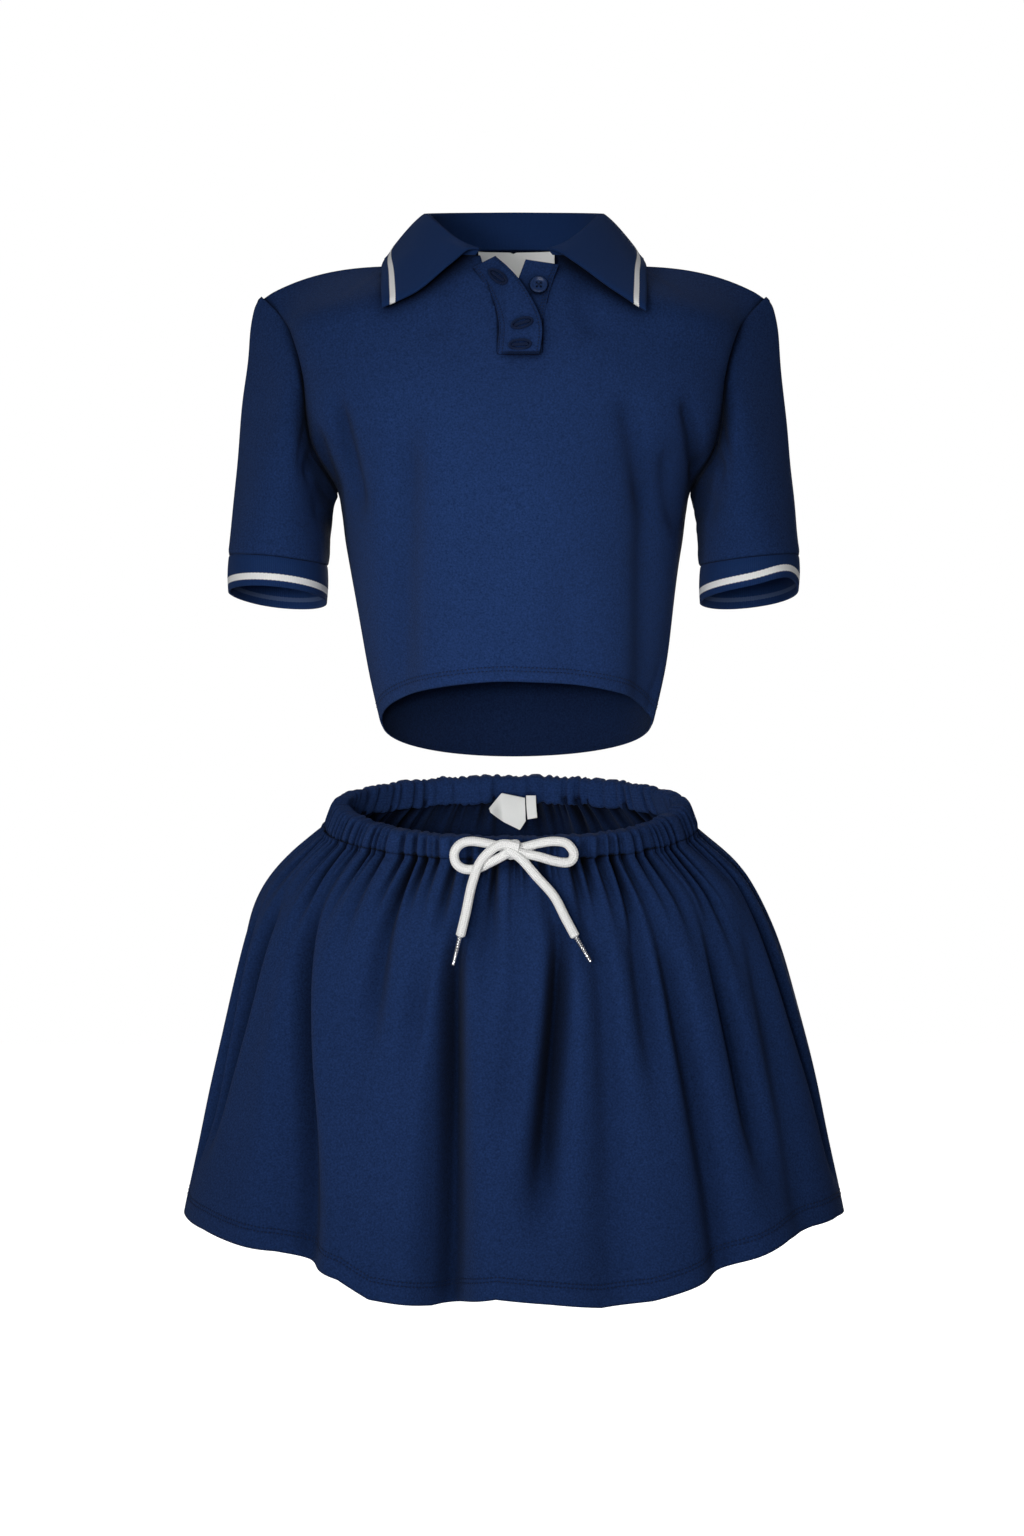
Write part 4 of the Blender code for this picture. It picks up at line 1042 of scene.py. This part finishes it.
def make_elastic():
    """The elastic inside the casing, flat against its inner wall."""
    columns, near, far, half = 240, -0.0048, -0.0032, 0.0072
    a = around(columns)[None, :]
    section = np.array(((near, -half), (near, half), (far, half), (far, -half), (near, -half)))
    points = waist_shape(a, section[:, :1], section[:, 1:])
    uv = merge(np.arange(columns + 1)[None, :] / columns * 0.77, section[:, 1:])
    band = sheet("elastic_band", points, uv, ELASTIC, thickness=0, wrap=True)
    fasten(band, "skirt", "elastic", "waist_elastic")


def make_cord():
    """The drawcord: round the waist inside the casing and out of two worked eyelets in front."""
    a = np.radians(np.linspace(-90 + 8.5, 270 - 8.5, 260))
    z = waist_point(np.array([-math.pi / 2]), 0, 0)[0, 2]
    mouth = ((0.0085, -0.118), (0.0125, -0.114), (0.013, -0.106))
    left, right = (np.array([(side * x, y, z) for x, y in mouth]) for side in (1, -1))
    line = resample(np.concatenate([left, waist_shape(a, -0.0006, 0.0), right[::-1]]), 900)
    cord = tube("drawcord_braid", line, PRESSED_CORD, CORD, sides=12)
    fasten(cord, "skirt", "white_cord", "drawcord")
    b = around(60)
    for word, side in SIDES:
        x, up = side * 0.013 + CORD_RADIUS * np.cos(b), CORD_RADIUS * np.sin(b)
        y = -np.sqrt(1 - (x / 0.153) ** 2) * 0.104
        ring = merge(x, y, z + up)
        eyelet = tube(f"{word}_eyelet_thread", ring, 0.0006, STITCH, sides=8, closed=True)
        fasten(eyelet, "skirt", "navy_thread")


# ---- the bow: places in the plane of the front, in millimetres from the knot ----
BOW_LOOPS = {  # outwards and up
    "right": ((1, 0.5), (7, 1.6), (20, 4.8), (32.6, 6.4), (40.6, 3.8), (44.8, -2.6), (43.5, -10.2),
              (37.4, -14.7), (27.8, -14.7), (18.2, -10.2), (7, -4.4), (1, -1)),
    "left": ((1, 0.5), (7.4, 1.6), (20.2, 4.8), (31.4, 6.4), (41, 4.8), (46.4, -1.6), (45.8, -7.4),
             (41, -9.9), (31.4, -8.6), (20.2, -5.4), (7.4, -2.6), (1, -1)),
}
CORD_TAILS = {  # along x and down
    "right": ((5, -2), (-9.5, -4), (-24, 8), (-31, 25.6), (-35.8, 48), (-40.2, 66.2)),
    "left": ((-5, 0), (5.8, 6.4), (18.6, 20.8), (31.4, 35.2), (40.5, 52.5), (48, 66.4)),
}
AGLETS = {"right": ((-40.2, 65.8), (-45.6, 87.8)), "left": ((47.8, 65.8), (59.4, 85.2))}


def make_loop(word, side):
    places = [KNOT + (side * x * MM, -0.0006 * k, z * MM) for k, (x, z) in enumerate(BOW_LOOPS[word])]
    line = curve_through(places, 260)
    loop = tube(f"{word}_bow_loop_braid", line, CORD_RADIUS, CORD, sides=24, relief=braid)
    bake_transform(loop)
    dress(loop, "white_cord", f"{word}_bow_loop")


def below_knot(x, drop):
    """A place on a hanging tail, which lies on the slope of the skirt."""
    return KNOT + (x * MM, -0.0085 - 0.12 * max(drop * MM, -0.01), -drop * MM)


def make_tail(word):
    """One end of the cord, narrowed where its metal tip starts, and the tip."""
    count = 240
    line = curve_through([below_knot(*place) for place in CORD_TAILS[word]], count)
    size = np.full(count, CORD_RADIUS)
    size[-3:] *= mix(1.0, 0.62, np.array((1, 2, 3)) / 3)
    tail = tube(f"{word}_cord_tail_braid", line, size, CORD, sides=24, relief=braid)
    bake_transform(tail)
    dress(tail, "white_cord", f"{word}_cord_tail")
    t = np.linspace(0, 1, 160)
    one, two = (below_knot(*place) for place in AGLETS[word])
    size = mix(0.0021, 0.0013, t) * (1 - 0.12 * np.abs(np.sin(t * 11 * math.pi)) ** 4)
    aglet = tube(f"{word}_aglet_coil", mix(one[None], two[None], t[:, None]), size, METAL, sides=18,
                 relief=lambda share, along: 0.1 * np.sin(TURN * (along / 0.0019 + share)))
    fasten(aglet, f"{word}_tail", "steel", f"{word}_aglet")


def make_knot():
    """The knot: two turns of cord wrapped tightly round the crossing."""
    a = around(90)
    for k, (tilt, wide, tall, front) in enumerate(((0.9, 0.0058, 0.0042, -1), (-0.6, 0.0054, 0.0037, 1)), 1):
        px, pz = wide * np.cos(a) * 0.55, tall * np.sin(a) * 1.35
        x = px * math.cos(tilt) - pz * math.sin(tilt)
        z = px * math.sin(tilt) + pz * math.cos(tilt)
        y = -0.003 * np.cos(a) * front - 0.0014 * (k == 1)
        line = KNOT + merge(x, y, z)
        turn = tube(f"bow_knot_turn_{k}", line, 0.0033, CORD, sides=20, relief=braid, closed=True)
        fasten(turn, "skirt", "white_cord", *(["bow_knot"] if k == 1 else []))


# ---- labels of the waistband ----
def make_care_label():
    """The care label: folded over at its outer corner, where it has curled away from the waistband."""
    corner = 0.35
    u = np.linspace(0, 1, 40)
    v = np.linspace(1, 0, 30)[:, None]
    above, below = (0, corner, 1), (0, corner, 0.8, 1)
    top_x = np.interp(u, above, (-0.0206, -0.0102, 0.0091))
    top_z = np.interp(u, above, (0.3705, 0.383, 0.379))
    low_x = np.interp(u, below, (-0.0192, -0.0082, 0.0049, 0.0097))
    low_z = np.interp(u, below, (0.3672, 0.359, 0.3526, 0.36))
    y = 0.088 - 0.004 * v - 0.006 * smooth((corner - u) / corner) - 0.002 * np.sin(v * 3.0) * (0.6 + 0.4 * u)
    points = merge(mix(top_x, low_x, v), y, mix(top_z, low_z, v))
    label = sheet("care_label_woven", points, arc_uv(points, 0), LABEL, LABEL_CLOTH)
    fasten(label, "care_label", "white_label", "care_label")


def make_size_label():
    x, y, top, width, height, lean, curl = 0.014, 0.0865, 0.381, 0.008, 0.019, 0.002, 0.004
    u = np.linspace(-1, 1, 24)[None, :]
    v = np.linspace(1, 0, 30)[:, None]
    px = x + u * width / 2 + curl * 0.3 * v * v
    py = y - lean * v - curl * 0.35 * np.sin(v * 2.4) * (1 + 0.4 * u)
    pz = top - height * v + curl * 0.18 * u * v
    points = merge(px, py, pz)
    label = sheet("size_label_woven", points, arc_uv(points, 0), LABEL, LABEL_CLOTH)
    fasten(label, "size_label", "white_label", "size_label")


# ---- the rest of the scene ----
def colour_node(node, look):
    """A look for a part that stays as it is in the frame."""
    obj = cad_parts[node]
    obj.data.materials.clear()
    obj.data.materials.append(look)


def add_light(kind, name, place, target, power, **settings):
    lamp = bpy.data.lights.new(name, kind)
    lamp.energy = power
    for key, value in settings.items():
        setattr(lamp, key, value)
    obj = bpy.data.objects.new(name, lamp)
    obj.location = place
    obj.rotation_euler = (Vector(target) - Vector(place)).to_track_quat("-Z", "Y").to_euler()
    bpy.context.scene.collection.objects.link(obj)
    return obj


def area_light(name, place, target, size, power):
    lamp = add_light("AREA", name, place, target, power, shape="RECTANGLE", size=size, size_y=size)
    lamp.visible_camera = False


def spot_light(name, place, target, degrees, power):
    add_light("SPOT", name, place, target, power, spot_size=math.radians(degrees), spot_blend=1.0,
              shadow_soft_size=0.2)


def make_world():
    """A white background for the camera, which lights the garment only a little."""
    world = bpy.data.worlds.new("studio")
    bpy.context.scene.world = world
    world.use_nodes = True
    tree = world.node_tree
    back = tree.nodes["Background"]
    back.inputs["Color"].default_value = (1, 1, 1, 1)
    path = tree.nodes.new("ShaderNodeLightPath")
    level = tree.nodes.new("ShaderNodeMapRange")
    level.inputs["To Min"].default_value = 0.1
    level.inputs["To Max"].default_value = 1.0
    tree.links.new(path.outputs["Is Camera Ray"], level.inputs["Value"])
    tree.links.new(level.outputs[0], back.inputs["Strength"])


def make_lights():
    """Soft light from the left, above and behind, and three spots that follow the photograph's shading."""
    area_light("key", (-1.0, -2.6, 0.7), (0, 0, 0.42), 0.5, 25)
    area_light("top", (0.3, 0.8, 2.4), (0, 0, 0.5), 1.4, 8)
    area_light("rear", (0.5, 2.8, 1.0), (0, 0, 0.42), 1.2, 40)
    spot_light("chest", (-0.15, -2.9, 0.62), (-0.005, 0, 0.68), 9.5, 190)
    spot_light("waist", (-0.15, -2.9, 0.5), (-0.005, 0, 0.5), 9.5, 170)
    spot_light("hem", (-0.35, -2.9, 0.4), (0.0, 0, 0.19), 15.5, 135)


def make_floor():
    """A floor that shows white to the camera and stays pale grey to everything else."""
    mesh = bpy.data.meshes.new("floor")
    mesh.from_pydata([(x, y, FLOOR_Z) for x, y in ((-6, -4), (6, -4), (6, 6), (-6, 6))], [], [(0, 1, 2, 3)])
    floor = bpy.data.objects.new("floor", mesh)
    bpy.context.scene.collection.objects.link(floor)
    look = Look("pale_floor", (0.45, 0.45, 0.45), 0.9, specular=0.0)
    look.set("Emission Color", (1.0, 1.0, 1.0, 1.0))
    seen = look.node("ShaderNodeLightPath").outputs["Is Camera Ray"]
    look.link(look.fit(seen, 0.8, 0.17), look.shader.inputs["Emission Strength"])
    mesh.materials.append(look.material)


def make_camera():
    lens = bpy.data.cameras.new("camera")
    lens.sensor_width = 36.0
    lens.lens = 87.9
    camera = bpy.data.objects.new("camera", lens)
    camera.location = (-0.0016, -3.0, 0.4036)
    camera.rotation_euler = (math.radians(90), 0, 0)
    bpy.context.scene.collection.objects.link(camera)
    bpy.context.scene.camera = camera


for word in ("front", "back"):
    make_body(word)
    make_skirt_panel(word)
for word, side in SIDES:
    make_sleeve(word, side)
    make_cuff(word, side)
    make_fall(word, side)
    make_loop(word, side)
    make_tail(word)
    colour_node(f"{word}_shoulder_tape", TAPE)
make_stand()
make_placket()
for k, word in enumerate(BUTTONS, 1):
    make_button(k, word)
    colour_node(f"button_thread_{k}", STITCH)
make_neck_label()
make_casing()
make_elastic()
make_cord()
make_knot()
make_care_label()
make_size_label()
bpy.context.scene.view_settings.view_transform = "Standard"
make_world()
make_lights()
make_floor()
make_camera()
